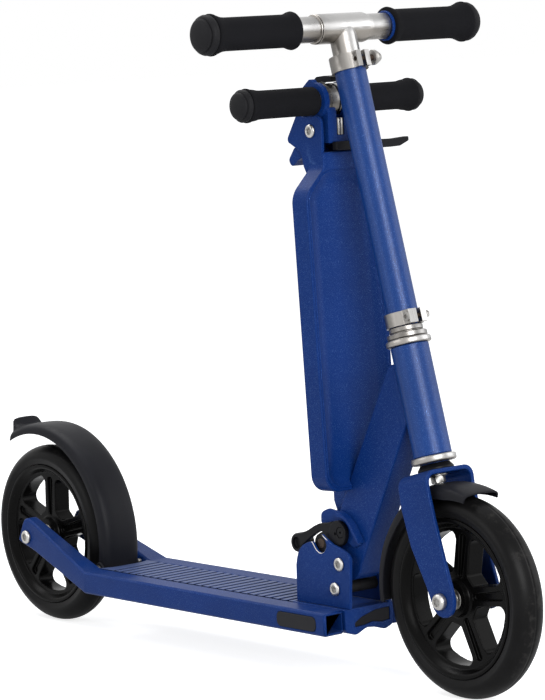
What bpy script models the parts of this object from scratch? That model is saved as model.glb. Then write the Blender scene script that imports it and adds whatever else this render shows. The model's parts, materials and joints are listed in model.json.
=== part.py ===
# Folding kick scooter, built as an assembly of separate pieces.
# Lengths below are in millimetres; MM turns them into metres when a mesh is made.
# X points forward, Y to the left side, Z up; the ground is Z = 0.
import math

import bmesh
import bpy
from mathutils import Matrix, Vector

MM = 0.001
GAP = 0.3

# Wheels
WHEEL_RADIUS = 100.0
WHEELBASE = 688.0
FRONT_X = WHEELBASE / 2.0
REAR_X = -WHEELBASE / 2.0
TYRE_HALF_WIDTH = 17.5
TYRE_CROWN = 14.0
TYRE_WALL = 21.0
TYRE_SHOULDER_RADIUS = WHEEL_RADIUS - TYRE_CROWN
RIM_SEAT_RADIUS = WHEEL_RADIUS - TYRE_WALL
RIM_WALL = 8.7
RIM_HALF_WIDTH = 16.8
RIM_INNER_RADIUS = RIM_SEAT_RADIUS - RIM_WALL
WEB_HALF_WIDTH = 10.0
HUB_RADIUS = 17.5
HUB_HALF_WIDTH = 16.5
HUB_BORE_RADIUS = 11.0
SPOKE_COUNT = 5
SPOKE_WIDTH = 20.0
FRONT_SPOKE_PHASE = 8.0
REAR_SPOKE_PHASE = 15.0
AXLE_RADIUS = 4.0

# Steering axis: a point on it at the head tube's foot, and its rake
FORK_REACH = WHEEL_RADIUS + 32.6
STEER_X = FRONT_X - 37.4
STEER_Z = WHEEL_RADIUS + FORK_REACH
RAKE_DEG = 14.44
STEERER_RADIUS = 13.8
STEM_RADIUS = 13.7
TUBE_RADIUS = 15.7
HEAD_TUBE_RADIUS = 19.0
HEAD_TUBE_BORE = 16.5
HEAD_TUBE_LENGTH = 110.6
CUP_RADIUS = 22.5
CLAMP_RADIUS = 18.75
BAR_HEIGHT = 436.0
TUBE_TOP = BAR_HEIGHT - 32.0
BAR_SETBACK = 2.5

# Upper handlebar
BAR_RADIUS = 13.0
BAR_SLEEVE_RADIUS = 15.0
BAR_SLEEVE_HALF_LENGTH = 33.0
BAR_HALF_LENGTH = 164.0
GRIP_START = 61.0
GRIP_RADIUS = 16.3
GRIP_FLANGE_RADIUS = 20.5
CAP_LENGTH = 13.0

# Fork
LEG_INNER = 27.0
LEG_OUTER = 31.5
CROWN_TOP = -11.5
CROWN_THICKNESS = 4.5

# Fenders
FENDER_WALL = 2.0
FRONT_FENDER_HALF_WIDTH = 23.0
REAR_FENDER_HALF_WIDTH = 24.0
REAR_FENDER_RADIUS = WHEEL_RADIUS + 26.0
REAR_FENDER_EDGE = WHEEL_RADIUS + 12.0
FRONT_FENDER_RADIUS = WHEEL_RADIUS + 13.0
BRAKE_X = REAR_X + WHEEL_RADIUS + 12.0
BRAKE_Z = WHEEL_RADIUS - 27.0

# Deck
DECK_TOP = 75.0
DECK_BOTTOM = 51.0
RAIL_INNER = 32.0
RAIL_OUTER = 57.6
RAIL_WALL = 3.0
RAIL_FRONT = FRONT_X - 148.0
RAIL_BEND = REAR_X + WHEEL_RADIUS + 28.0
PLATE_FRONT = RAIL_FRONT - 81.0
PLATE_REAR = REAR_X + WHEEL_RADIUS + 31.0
PLATE_THICKNESS = 6.0
RIB_PITCH = 13.1
RIB_DEPTH = 2.4
RIB_COUNT = int((PLATE_FRONT - PLATE_REAR - 10.0) / RIB_PITCH)

# Fold bracket
FOLD_X = RAIL_FRONT - 8.0
FOLD_Z = DECK_TOP + 45.0
STOP_X = FOLD_X - 8.0
STOP_Z = FOLD_Z - 26.0
STOP_ROLLER_RADIUS = 6.5
CHEEK_INNER = 24.0
CHEEK_OUTER = 27.5
BOLT_RADIUS = 4.0
BOLT_HEAD_RADIUS = 6.3
NECK_HALF_WIDTH = 15.0
FOOT_RADIUS = 18.0
CAM_X = FOLD_X - 2.0
CAM_Z = FOLD_Z + 31.5
CAM_RADIUS = 12.5
LATCH_PIN_X = FOLD_X - 31.2
LATCH_PIN_Z = FOLD_Z + 17.5
KNOB_X = FOLD_X - 72.5
KNOB_Z = FOLD_Z + 14.5
KNOB_RADIUS = 10.0

# Upright column and lower handlebar
POST_HALF_WIDTH = 48.0
POST_DEPTH = 24.0
POST_BOTTOM = FOLD_Z + 75.0
POST_SHOULDER = FOLD_Z + 373.0
POST_TOP = FOLD_Z + 413.0
POST_NECK_HALF_WIDTH = 22.4
POST_FACE_X = FOLD_X + 11.0
POST_TILT_DEG = 1.84
EAR_INNER = 20.0
EAR_OUTER = 23.0
TILT_X = FOLD_X - 17.3
TILT_Z = FOLD_Z + 434.0
LOW_BAR_X = TILT_X + 2.3
LOW_BAR_Z = TILT_Z + 29.5
LOW_BAR_RADIUS = 12.5
LOW_BAR_HALF_LENGTH = 107.0
LOW_GRIP_START = 20.5
LOW_GRIP_RADIUS = 14.2
LOW_GRIP_FLANGE_RADIUS = 17.0
LUG_HALF_WIDTH = 16.0
RING_RADIUS = 18.5
LEVER_X = TILT_X + 19.3
LEVER_Z = TILT_Z - 16.0

# Sides of turned pieces
WHEEL_STEPS = 24
TUBE_STEPS = 16
GRIP_STEPS = 16
BOLT_STEPS = 8

BLUE = (0.016, 0.062, 0.24)
BLACK = (0.018, 0.018, 0.02)
RUBBER = (0.03, 0.03, 0.034)
SILVER = (0.62, 0.63, 0.64)


def clear_scene():
    for obj in list(bpy.data.objects):
        bpy.data.objects.remove(obj, do_unlink=True)


def new_collection(name):
    group = bpy.data.collections.new(name)
    bpy.context.scene.collection.children.link(group)
    return group


clear_scene()
PIECES = new_collection("folding_kick_scooter")
CUTTERS = new_collection("cutters")
WORLD = Matrix.Identity(4)
RAKE = math.radians(RAKE_DEG)
STEER = Matrix.Translation((STEER_X * MM, 0.0, STEER_Z * MM)) @ Matrix.Rotation(-RAKE, 4, "Y")
AXLE_T = (FRONT_X - STEER_X) * math.cos(RAKE) + (WHEEL_RADIUS - STEER_Z) * math.sin(RAKE)
AXLE_S = (WHEEL_RADIUS - STEER_Z) * math.cos(RAKE) - (FRONT_X - STEER_X) * math.sin(RAKE)
POST_FRAME = (
    Matrix.Translation((POST_FACE_X * MM, 0.0, POST_BOTTOM * MM))
    @ Matrix.Rotation(-math.radians(POST_TILT_DEG), 4, "Y")
)


# Frames for turned pieces: local Z runs along the named direction
def along_y(x, z, frame=WORLD):
    return frame @ Matrix.Translation((x * MM, 0.0, z * MM)) @ Matrix.Rotation(-math.pi / 2.0, 4, "X")


def along_z(x, y, frame=WORLD):
    return frame @ Matrix.Translation((x * MM, y * MM, 0.0))


# Basic makers
def place(name, mesh, frame=WORLD, cutter=False):
    obj = bpy.data.objects.new(name, mesh)
    if cutter:
        CUTTERS.objects.link(obj)
        obj.hide_render = True
        obj.display_type = "WIRE"
    else:
        PIECES.objects.link(obj)
    obj.matrix_world = frame
    return obj


def mesh_from(bm, name):
    mesh = bpy.data.meshes.new(name)
    bm.to_mesh(mesh)
    bm.free()
    return mesh


def block(name, low, high, frame=WORLD, cutter=False):
    bm = bmesh.new()
    bmesh.ops.create_cube(bm, size=1.0)
    size = [(b - a) * MM for a, b in zip(low, high)]
    centre = [(a + b) * 0.5 * MM for a, b in zip(low, high)]
    bmesh.ops.transform(
        bm, matrix=Matrix.Translation(centre) @ Matrix.Diagonal((size[0], size[1], size[2], 1.0)), verts=bm.verts
    )
    return place(name, mesh_from(bm, name), frame, cutter)


def rod(name, start, end, radius, sides=24, frame=WORLD, cutter=False, end_radius=None):
    a = Vector(start) * MM
    b = Vector(end) * MM
    bm = bmesh.new()
    last = radius if end_radius is None else end_radius
    bmesh.ops.create_cone(
        bm, cap_ends=True, segments=sides, radius1=radius * MM, radius2=last * MM, depth=(b - a).length
    )
    turn = (b - a).to_track_quat("Z", "Y").to_matrix().to_4x4()
    bmesh.ops.transform(bm, matrix=Matrix.Translation((a + b) * 0.5) @ turn, verts=bm.verts)
    return place(name, mesh_from(bm, name), frame, cutter)


def prism(name, points, low, high, plane="XZ", frame=WORLD, cutter=False):
    curve = bpy.data.curves.new(name, "CURVE")
    curve.dimensions = "2D"
    curve.fill_mode = "BOTH"
    curve.extrude = (high - low) * 0.5 * MM
    spline = curve.splines.new("POLY")
    spline.points.add(len(points) - 1)
    for point, (a, b) in zip(spline.points, points):
        point.co = (a * MM, b * MM, 0.0, 1.0)
    spline.use_cyclic_u = True
    source = bpy.data.objects.new(name + "_outline", curve)
    PIECES.objects.link(source)
    graph = bpy.context.evaluated_depsgraph_get()
    mesh = bpy.data.meshes.new_from_object(source.evaluated_get(graph))
    mesh.name = name
    bpy.data.objects.remove(source, do_unlink=True)
    bpy.data.curves.remove(curve)
    bm = bmesh.new()
    bm.from_mesh(mesh)
    bmesh.ops.remove_doubles(bm, verts=bm.verts, dist=1e-6)
    bmesh.ops.dissolve_limit(bm, angle_limit=0.002, verts=bm.verts, edges=bm.edges)
    middle = (low + high) * 0.5 * MM
    if plane == "XZ":
        turn = Matrix.Translation((0.0, middle, 0.0)) @ Matrix.Rotation(math.pi / 2.0, 4, "X")
    elif plane == "XY":
        turn = Matrix.Translation((0.0, 0.0, middle))
    else:
        turn = Matrix(((0, 0, 1, middle), (1, 0, 0, 0), (0, 1, 0, 0), (0, 0, 0, 1)))
    bmesh.ops.transform(bm, matrix=turn, verts=bm.verts)
    bmesh.ops.recalc_face_normals(bm, faces=bm.faces)
    bm.to_mesh(mesh)
    bm.free()
    return place(name, mesh, frame, cutter)


def turned(name, profile, steps, frame, closed=False, cutter=False):
    mesh = bpy.data.meshes.new(name)
    verts = [(r * MM, 0.0, h * MM) for r, h in profile]
    edges = [(i, i + 1) for i in range(len(verts) - 1)]
    if closed:
        edges.append((len(verts) - 1, 0))
    mesh.from_pydata(verts, edges, [])
    obj = place(name, mesh, frame, cutter)
    turn = obj.modifiers.new("Turn", "SCREW")
    turn.axis = "Z"
    turn.angle = 2.0 * math.pi
    turn.screw_offset = 0.0
    turn.steps = steps
    turn.render_steps = steps
    turn.use_merge_vertices = True
    turn.merge_threshold = 1e-5
    return obj


def bevel(obj, width, segments=2, angle=35.0):
    mod = obj.modifiers.new("Bevel", "BEVEL")
    mod.width = width * MM
    mod.segments = segments
    mod.limit_method = "ANGLE"
    mod.angle_limit = math.radians(angle)
    return obj


def combine(obj, other, operation):
    mod = obj.modifiers.new(operation.title(), "BOOLEAN")
    mod.operation = operation
    mod.solver = "EXACT"
    mod.object = other
    return obj


def cut(obj, other):
    return combine(obj, other, "DIFFERENCE")


def join(obj, other):
    return combine(obj, other, "UNION")


def common(obj, other):
    return combine(obj, other, "INTERSECT")


def paint(obj, colour, metallic, roughness):
    material = bpy.data.materials.new(obj.name + "_finish")
    material.use_nodes = True
    shader = material.node_tree.nodes["Principled BSDF"]
    shader.inputs["Base Color"].default_value = (colour[0], colour[1], colour[2], 1.0)
    shader.inputs["Metallic"].default_value = metallic
    shader.inputs["Roughness"].default_value = roughness
    obj.data.materials.append(material)


FINISHES = {
    "blue": (BLUE, 0.2, 0.42),
    "black": (BLACK, 0.0, 0.4),
    "rubber": (RUBBER, 0.0, 0.75),
    "silver": (SILVER, 1.0, 0.3),
}


# Outline helpers
def arc(cx, cz, radius, start, end, count):
    points = []
    for i in range(count + 1):
        a = math.radians(start + (end - start) * i / count)
        points.append((cx + radius * math.cos(a), cz + radius * math.sin(a)))
    return points


def rounded(corners, steps=4):
    points = []
    total = len(corners)
    for i, (x, z, radius) in enumerate(corners):
        here = Vector((x, z))
        before = Vector(corners[i - 1][:2])
        after = Vector(corners[(i + 1) % total][:2])
        if radius <= 0.0:
            points.append((x, z))
            continue
        to_before = (before - here).normalized()
        to_after = (after - here).normalized()
        half = to_before.angle(to_after) * 0.5
        reach = radius / math.tan(half)
        middle = here + (to_before + to_after).normalized() * (radius / math.sin(half))
        first = here + to_before * reach - middle
        last = here + to_after * reach - middle
        sweep = first.angle_signed(last)
        for k in range(steps + 1):
            turn = Matrix.Rotation(-sweep * k / steps, 2)
            spot = middle + turn @ first
            points.append((spot.x, spot.y))
    return points


def grown(points, distance):
    total = len(points)
    area = sum(
        points[i][0] * points[(i + 1) % total][1] - points[(i + 1) % total][0] * points[i][1] for i in range(total)
    )
    side = 1.0 if area > 0.0 else -1.0
    result = []
    for i in range(total):
        before = Vector(points[i - 1])
        here = Vector(points[i])
        after = Vector(points[(i + 1) % total])
        d1 = (here - before).normalized()
        d2 = (after - here).normalized()
        n1 = Vector((d1.y, -d1.x)) * side
        n2 = Vector((d2.y, -d2.x)) * side
        middle = (n1 + n2).normalized()
        scale = distance / max(0.3, middle.dot(n1))
        spot = here + middle * scale
        result.append((spot.x, spot.y))
    return result


# Joint frames: one empty per moving body, its origin on the joint axis
BODIES = {}


def body(name, x=0.0, y=0.0, z=0.0, parent=None):
    empty = bpy.data.objects.new(name, None)
    PIECES.objects.link(empty)
    empty.empty_display_size = 0.02
    empty.matrix_world = Matrix.Translation((x * MM, y * MM, z * MM))
    if parent:
        holder = BODIES[parent]
        empty.parent = holder
        empty.matrix_parent_inverse = holder.matrix_world.inverted()
    bpy.context.view_layer.update()
    BODIES[name] = empty


def finish(obj, owner, look):
    colour, metallic, roughness = FINISHES[look]
    paint(obj, colour, metallic, roughness)
    holder = BODIES[owner]
    obj.parent = holder
    obj.matrix_parent_inverse = holder.matrix_world.inverted()
    return obj


body("deck_frame")
body("rear_wheel_frame", REAR_X, 0.0, WHEEL_RADIUS, "deck_frame")
body("brake_frame", BRAKE_X, 0.0, BRAKE_Z, "deck_frame")
body("neck_frame", FOLD_X, 0.0, FOLD_Z, "deck_frame")
body("latch_frame", CAM_X, 0.0, CAM_Z, "neck_frame")
body("steering_frame", STEER_X, 0.0, STEER_Z, "neck_frame")
body("front_wheel_frame", FRONT_X, 0.0, WHEEL_RADIUS, "steering_frame")
body("t_bar_frame", STEER_X, 0.0, STEER_Z, "steering_frame")
body("lower_bar_frame", TILT_X, 0.0, TILT_Z, "neck_frame")
body("lever_frame", LEVER_X, 0.0, LEVER_Z, "lower_bar_frame")


# Wheels
def tyre(name, x, owner):
    seat = RIM_SEAT_RADIUS + GAP
    profile = []
    crown = WHEEL_RADIUS - TYRE_SHOULDER_RADIUS
    for i in range(7):
        a = math.radians(90.0 - 30.0 * i)
        profile.append((TYRE_SHOULDER_RADIUS + crown * math.cos(a), TYRE_HALF_WIDTH * math.sin(a)))
    profile.append((seat, -TYRE_HALF_WIDTH + 0.8))
    profile.append((seat, TYRE_HALF_WIDTH - 0.8))
    obj = turned(name, profile, WHEEL_STEPS, along_y(x, WHEEL_RADIUS), closed=True)
    return finish(obj, owner, "black")


def window_outline(inner, outer, half_spoke, corner):
    half_step = math.pi / SPOKE_COUNT
    corners = []
    for radius, count in ((inner, 2), (outer, 3)):
        reach = half_step - math.asin(half_spoke / radius)
        ring = []
        for i in range(count):
            a = -reach + 2.0 * reach * i / (count - 1)
            edge = i == 0 or i == count - 1
            ring.append((radius * math.cos(a), radius * math.sin(a), corner if edge else 0.0))
        corners.append(ring)
    return rounded(corners[0] + corners[1][::-1], 1)


def rim(name, x, phase, owner):
    r = RIM_SEAT_RADIUS
    w = RIM_HALF_WIDTH
    profile = [
        (r, -w), (r - 4.5, -w - 0.5), (RIM_INNER_RADIUS, -WEB_HALF_WIDTH),
        (HUB_RADIUS + 0.6, -WEB_HALF_WIDTH), (HUB_RADIUS - 0.4, -HUB_HALF_WIDTH), (HUB_BORE_RADIUS, -HUB_HALF_WIDTH),
    ]
    profile = profile + [(a, -b) for a, b in profile[::-1]]
    obj = turned(name, profile, WHEEL_STEPS, along_y(x, WHEEL_RADIUS), closed=True)
    outline = window_outline(27.0, RIM_INNER_RADIUS - 4.3, SPOKE_WIDTH / 2.0, 6.0)
    bm = bmesh.new()
    channels = bmesh.new()
    for k in range(SPOKE_COUNT):
        a = math.radians(phase + 360.0 / SPOKE_COUNT * k)
        middle = a + math.pi / SPOKE_COUNT
        pts = [
            (px * math.cos(middle) - pz * math.sin(middle), px * math.sin(middle) + pz * math.cos(middle))
            for px, pz in outline
        ]
        add_prism(bm, pts, -WEB_HALF_WIDTH - 2.0, WEB_HALF_WIDTH + 2.0)
        reach = RIM_INNER_RADIUS - 8.3
        slot = rounded([(24.0, -4.6, 4.0), (reach, -5.2, 4.0), (reach, 5.2, 4.0), (24.0, 4.6, 4.0)], 1)
        pts = [(px * math.cos(a) - pz * math.sin(a), px * math.sin(a) + pz * math.cos(a)) for px, pz in slot]
        add_prism(channels, pts, WEB_HALF_WIDTH - 2.5, WEB_HALF_WIDTH + 2.0)
        add_prism(channels, pts, -WEB_HALF_WIDTH - 2.0, -WEB_HALF_WIDTH + 2.5)
    frame = Matrix.Translation((x * MM, 0.0, WHEEL_RADIUS * MM))
    cut(obj, place(name + "_windows", mesh_from(bm, name + "_windows"), frame, True))
    cut(obj, place(name + "_channels", mesh_from(channels, name + "_channels"), frame, True))
    return finish(obj, owner, "black")


def add_prism(bm, points, low, high):
    near = [bm.verts.new((px * MM, low * MM, pz * MM)) for px, pz in points]
    face = bm.faces.new(near)
    grown_part = bmesh.ops.extrude_face_region(bm, geom=[face])
    moved = [item for item in grown_part["geom"] if isinstance(item, bmesh.types.BMVert)]
    bmesh.ops.translate(bm, vec=(0.0, (high - low) * MM, 0.0), verts=moved)
    bmesh.ops.recalc_face_normals(bm, faces=bm.faces)


def bearing(name, x, owner):
    r = HUB_BORE_RADIUS - GAP
    bore = AXLE_RADIUS + GAP
    w = HUB_HALF_WIDTH - GAP
    half = [(r, -w), (r - 1.4, -w), (r - 1.6, -w + 0.6), (bore + 1.8, -w + 0.6), (bore, -w)]
    profile = half + [(a, -b) for a, b in half[::-1]]
    obj = turned(name, profile, GRIP_STEPS, along_y(x, WHEEL_RADIUS), closed=True)
    return finish(obj, owner, "silver")


def axle(name, owner, inner, outer, frame):
    collar = HUB_HALF_WIDTH + GAP
    head = outer + GAP
    profile = [
        (0.0, head + 5.5), (AXLE_RADIUS, head + 5.5), (AXLE_RADIUS, head + 4.6), (7.4, head + 4.6), (7.4, head),
        (AXLE_RADIUS, head), (AXLE_RADIUS, inner - GAP), (6.5, inner - GAP), (6.5, collar), (AXLE_RADIUS, collar),
        (AXLE_RADIUS, -collar), (6.5, -collar), (6.5, -inner + GAP), (AXLE_RADIUS, -inner + GAP),
        (AXLE_RADIUS, -head), (7.4, -head), (7.4, -head - 2.6), (6.0, -head - 4.4), (3.2, -head - 4.6),
        (2.6, -head - 2.4), (0.0, -head - 2.4),
    ]
    return finish(turned(name, profile, BOLT_STEPS, frame), owner, "silver")


for tag, x, phase in (("rear", REAR_X, REAR_SPOKE_PHASE), ("front", FRONT_X, FRONT_SPOKE_PHASE)):
    tyre(tag + "_tyre", x, tag + "_wheel_frame")
    rim(tag + "_rim", x, phase, tag + "_wheel_frame")
    bearing(tag + "_bearing", x, tag + "_wheel_frame")


# Deck rails
ARM_TIP_INNER = 28.5
ARM_TIP_OUTER = 43.0


def rail_side(grow=0.0):
    return grown([
        (RAIL_FRONT, DECK_BOTTOM), (RAIL_FRONT, DECK_TOP), (RAIL_BEND, DECK_TOP),
        (REAR_X + 2.0, WHEEL_RADIUS + 21.5), (REAR_X - 5.0, WHEEL_RADIUS + 20.0),
        (REAR_X - 9.0, WHEEL_RADIUS + 14.5), (REAR_X - 19.0, WHEEL_RADIUS - 5.0),
        (REAR_X - 12.0, WHEEL_RADIUS - 8.0), (RAIL_BEND - 2.0, DECK_BOTTOM),
    ], grow)


def rail(name, side):
    obj = prism(name, rail_side(), min(side * 20.0, side * 66.0), max(side * 20.0, side * 66.0))
    plan = [
        (RAIL_FRONT + 9.0, side * RAIL_INNER), (RAIL_BEND - 30.0, side * RAIL_INNER), (REAR_X + 12.0, side * ARM_TIP_INNER),
        (REAR_X - 30.0, side * ARM_TIP_INNER), (REAR_X - 30.0, side * ARM_TIP_OUTER),
        (REAR_X + 12.0, side * ARM_TIP_OUTER), (RAIL_BEND, side * RAIL_OUTER), (RAIL_FRONT + 9.0, side * RAIL_OUTER),
    ]
    common(obj, prism(name + "_plan", plan, DECK_BOTTOM - 20.0, WHEEL_RADIUS + 60.0, "XY", cutter=True))
    bevel(obj, 2.0, 1, 25.0)
    low = RAIL_INNER + RAIL_WALL
    high = RAIL_OUTER - RAIL_WALL
    mouth = [
        (low, DECK_BOTTOM + RAIL_WALL, 2.0), (high, DECK_BOTTOM + RAIL_WALL, 2.0),
        (high, DECK_TOP - RAIL_WALL, 2.0), (low, DECK_TOP - RAIL_WALL, 2.0),
    ]
    outline = [(side * y, z) for y, z in rounded(mouth, 2)]
    cut(obj, prism(name + "_mouth", outline, RAIL_FRONT - 70.0, RAIL_FRONT + 9.0, "YZ", cutter=True))
    pad = pad_outline(GAP)
    a = side * (RAIL_OUTER - 1.2)
    b = side * (RAIL_OUTER + 6.0)
    cut(obj, prism(name + "_pad_seat", pad, min(a, b), max(a, b), cutter=True))
    ends = (REAR_X, side * 10.0, WHEEL_RADIUS), (REAR_X, side * 70.0, WHEEL_RADIUS)
    cut(obj, rod(name + "_axle_hole", ends[0], ends[1], AXLE_RADIUS + GAP, cutter=True))
    finish(obj, "deck_frame", "blue")
    plug = prism(
        name.replace("rail", "rail_plug"), [(side * y, z) for y, z in grown(rounded(mouth, 2), -GAP)],
        RAIL_FRONT - 45.0, RAIL_FRONT - 12.0, "YZ",
    )
    slope = [
        (RAIL_FRONT - 26.0, DECK_TOP), (RAIL_FRONT, DECK_TOP), (RAIL_FRONT, DECK_BOTTOM), (RAIL_FRONT - 14.0, DECK_BOTTOM),
    ]
    cut(plug, prism(plug.name + "_slope", slope, -70.0, 70.0, cutter=True))
    finish(plug, "deck_frame", "black")
    a = side * (RAIL_OUTER - 1.2 + GAP)
    b = side * (RAIL_OUTER + 0.8)
    cushion = prism(name.replace("rail", "rail_pad"), pad_outline(0.0), min(a, b), max(a, b))
    bevel(cushion, 0.5, 1)
    finish(cushion, "deck_frame", "rubber")


def pad_outline(grow):
    middle = (DECK_BOTTOM + DECK_TOP) / 2.0 - 0.5
    back = RAIL_FRONT - 75.5
    front = RAIL_FRONT - 14.0
    return rounded([
        (back - grow, middle - 7.5 - grow, 5.5), (front + grow, middle - 7.5 - grow, 5.5),
        (front + grow, middle + 7.5 + grow, 5.5), (back - grow, middle + 7.5 + grow, 5.5),
    ], 4)


rail("rail_right", -1.0)
rail("rail_left", 1.0)


# Deck plate with transverse ribs
def deck_plate():
    bottom = DECK_TOP - PLATE_THICKNESS
    outline = [(PLATE_FRONT, bottom), (PLATE_FRONT, DECK_TOP + 0.4)]
    for i in range(RIB_COUNT):
        x = PLATE_FRONT - 6.0 - RIB_PITCH * i
        low = DECK_TOP + 0.4 - RIB_DEPTH
        outline += [(x, DECK_TOP + 0.4), (x - 1.0, low), (x - 4.4, low), (x - 5.4, DECK_TOP + 0.4)]
    outline += [(PLATE_REAR - 50.0, DECK_TOP + 0.4), (PLATE_REAR - 50.0, bottom)]
    edge = RAIL_INNER - GAP
    obj = prism("deck_plate", outline, -edge, edge)
    plan = [(PLATE_FRONT + 20.0, -edge - 5.0), (PLATE_FRONT + 20.0, edge + 5.0)]
    for i in range(9):
        share = 1.0 - i / 4.0
        plan.append((PLATE_REAR - 12.0 * share ** 4, (edge + 5.0) * share))
    common(obj, prism("deck_plate_plan", plan, bottom - 10.0, DECK_TOP + 10.0, "XY", cutter=True))
    return finish(obj, "deck_frame", "blue")


deck_plate()


# Solid block ahead of the plate, with a black insert in its front face
def insert_outline(grow):
    return grown(rounded([
        (-19.0, 56.0, 1.5), (-6.0, 56.5, 6.0), (4.0, 58.5, 10.0), (16.0, 56.5, 6.0), (27.0, 57.5, 1.5),
        (27.0, 70.0, 1.5), (8.0, 69.5, 10.0), (-10.0, 65.0, 8.0), (-19.0, 60.0, 1.5),
    ], 3), grow)


def front_block():
    edge = RAIL_INNER - GAP
    outline = rounded([
        (-edge, DECK_TOP, 0.0), (-edge, 52.0, 7.0), (-18.0, 47.5, 9.0), (-4.0, 53.5, 12.0), (8.0, 52.0, 12.0),
        (20.0, 48.0, 9.0), (edge, 52.0, 7.0), (edge, DECK_TOP, 0.0),
    ], 4)
    obj = prism("front_block", outline, PLATE_FRONT + GAP, RAIL_FRONT + 2.0, "YZ")
    cut(obj, prism("front_block_recess", insert_outline(GAP), RAIL_FRONT - 6.0, RAIL_FRONT + 9.0, "YZ", cutter=True))
    finish(obj, "deck_frame", "blue")
    insert = prism("block_insert", insert_outline(0.0), RAIL_FRONT - 6.0 + GAP, RAIL_FRONT + 1.2, "YZ")
    finish(insert, "deck_frame", "black")


front_block()


# Fold bracket
def near_point(x, z, points):
    return [(x + a, z + b) for a, b in points]


def cheek_outline():
    foot = DECK_TOP + GAP - FOLD_Z
    return near_point(FOLD_X, FOLD_Z, [
        (-71.0, foot), (12.5, foot), (16.6, 6.0), (15.0, 9.8), (11.0, 12.7), (2.0, 16.0), (-10.4, 19.0),
        (-21.0, 24.6), (-27.0, 28.3), (-24.4, 25.4), (-21.2, 22.0), (-19.8, 18.0), (-20.8, 14.0), (-23.6, 10.6),
        (-27.4, 8.8), (-31.4, 8.9), (-35.4, 11.0), (-38.4, 14.2), (-40.4, 17.2), (-42.0, 19.2), (-47.0, 18.5),
        (-52.0, 16.8), (-57.6, 14.2), (-62.0, 10.6), (-65.4, 6.6), (-68.0, 0.0), (-69.8, -7.0),
    ])


def cheek(name, side):
    a = side * CHEEK_INNER
    b = side * CHEEK_OUTER
    obj = prism(name, cheek_outline(), min(a, b), max(a, b))
    bevel(obj, 0.5, 1)
    for label, x, z in (("fold", FOLD_X, FOLD_Z), ("stop", STOP_X, STOP_Z)):
        hole = rod(name + "_" + label, (x, -40.0, z), (x, 40.0, z), BOLT_RADIUS + GAP, 12, cutter=True)
        cut(obj, hole)
    return finish(obj, "deck_frame", "blue")


cheek("cheek_right", -1.0)
cheek("cheek_left", 1.0)


def bracket_bolt(name, x, z, owner, shoulder):
    head = CHEEK_OUTER + GAP
    inner = CHEEK_INNER - GAP
    top = [
        (0.0, head + 4.4), (BOLT_HEAD_RADIUS - 1.5, head + 4.4), (BOLT_HEAD_RADIUS, head + 3.0),
        (BOLT_HEAD_RADIUS, head), (BOLT_RADIUS, head),
    ]
    low = [
        (BOLT_RADIUS, -head), (BOLT_HEAD_RADIUS, -head), (BOLT_HEAD_RADIUS, -head - 1.6),
        (BOLT_HEAD_RADIUS - 1.6, -head - 3.2), (3.6, -head - 3.6), (3.2, -head - 2.2), (0.0, -head - 2.0),
    ]
    middle = []
    if shoulder:
        near = NECK_HALF_WIDTH + GAP
        middle = [
            (BOLT_RADIUS, inner), (shoulder, inner), (shoulder, near), (BOLT_RADIUS, near),
            (BOLT_RADIUS, -near), (shoulder, -near), (shoulder, -inner), (BOLT_RADIUS, -inner),
        ]
    return finish(turned(name, top + middle + low, BOLT_STEPS, along_y(x, z)), owner, "silver")


bracket_bolt("hinge_bolt", FOLD_X, FOLD_Z, "deck_frame", 8.0)
bracket_bolt("stop_bolt", STOP_X, STOP_Z, "deck_frame", 0.0)


def ring(name, outer, inner, low, high, steps, frame, owner, look, soft=0.5):
    profile = [(outer, high - soft), (outer, low + soft), (outer - soft, low), (inner, low), (inner, high)]
    profile.append((outer - soft, high))
    return finish(turned(name, profile, steps, frame, closed=True), owner, look)


roller_edge = CHEEK_INNER - 2.0 * GAP
ring(
    "stop_roller", STOP_ROLLER_RADIUS, BOLT_RADIUS + GAP, -roller_edge, roller_edge, 14,
    along_y(STOP_X, STOP_Z), "deck_frame", "rubber",
)
axle("rear_axle", "deck_frame", ARM_TIP_INNER, ARM_TIP_OUTER, along_y(REAR_X, WHEEL_RADIUS))


# Rear fender and the pin it turns on
def mapped_shell(name, columns, rows, place_point, wall, centre, owner, look, holes=()):
    bm = bmesh.new()
    bmesh.ops.create_grid(bm, x_segments=columns, y_segments=rows, size=1.0)
    for vert in bm.verts:
        x, y, z = place_point((vert.co.x + 1.0) / 2.0, vert.co.y)
        vert.co = Vector((x, y, z)) * MM
    bm.normal_update()
    middle = Vector((centre[0], 0.0, centre[1])) * MM
    facing = sum(face.normal.dot(face.calc_center_median() - middle) for face in bm.faces)
    if facing < 0.0:
        bmesh.ops.reverse_faces(bm, faces=bm.faces)
    obj = place(name, mesh_from(bm, name))
    shell = obj.modifiers.new("Wall", "SOLIDIFY")
    shell.thickness = wall * MM
    shell.offset = -1.0
    shell.use_even_offset = True
    return obj


def blend(table, u):
    for (u0, a), (u1, b) in zip(table, table[1:]):
        if u <= u1:
            t = (u - u0) / (u1 - u0)
            return a + (b - a) * t
    return table[-1][1]


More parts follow.
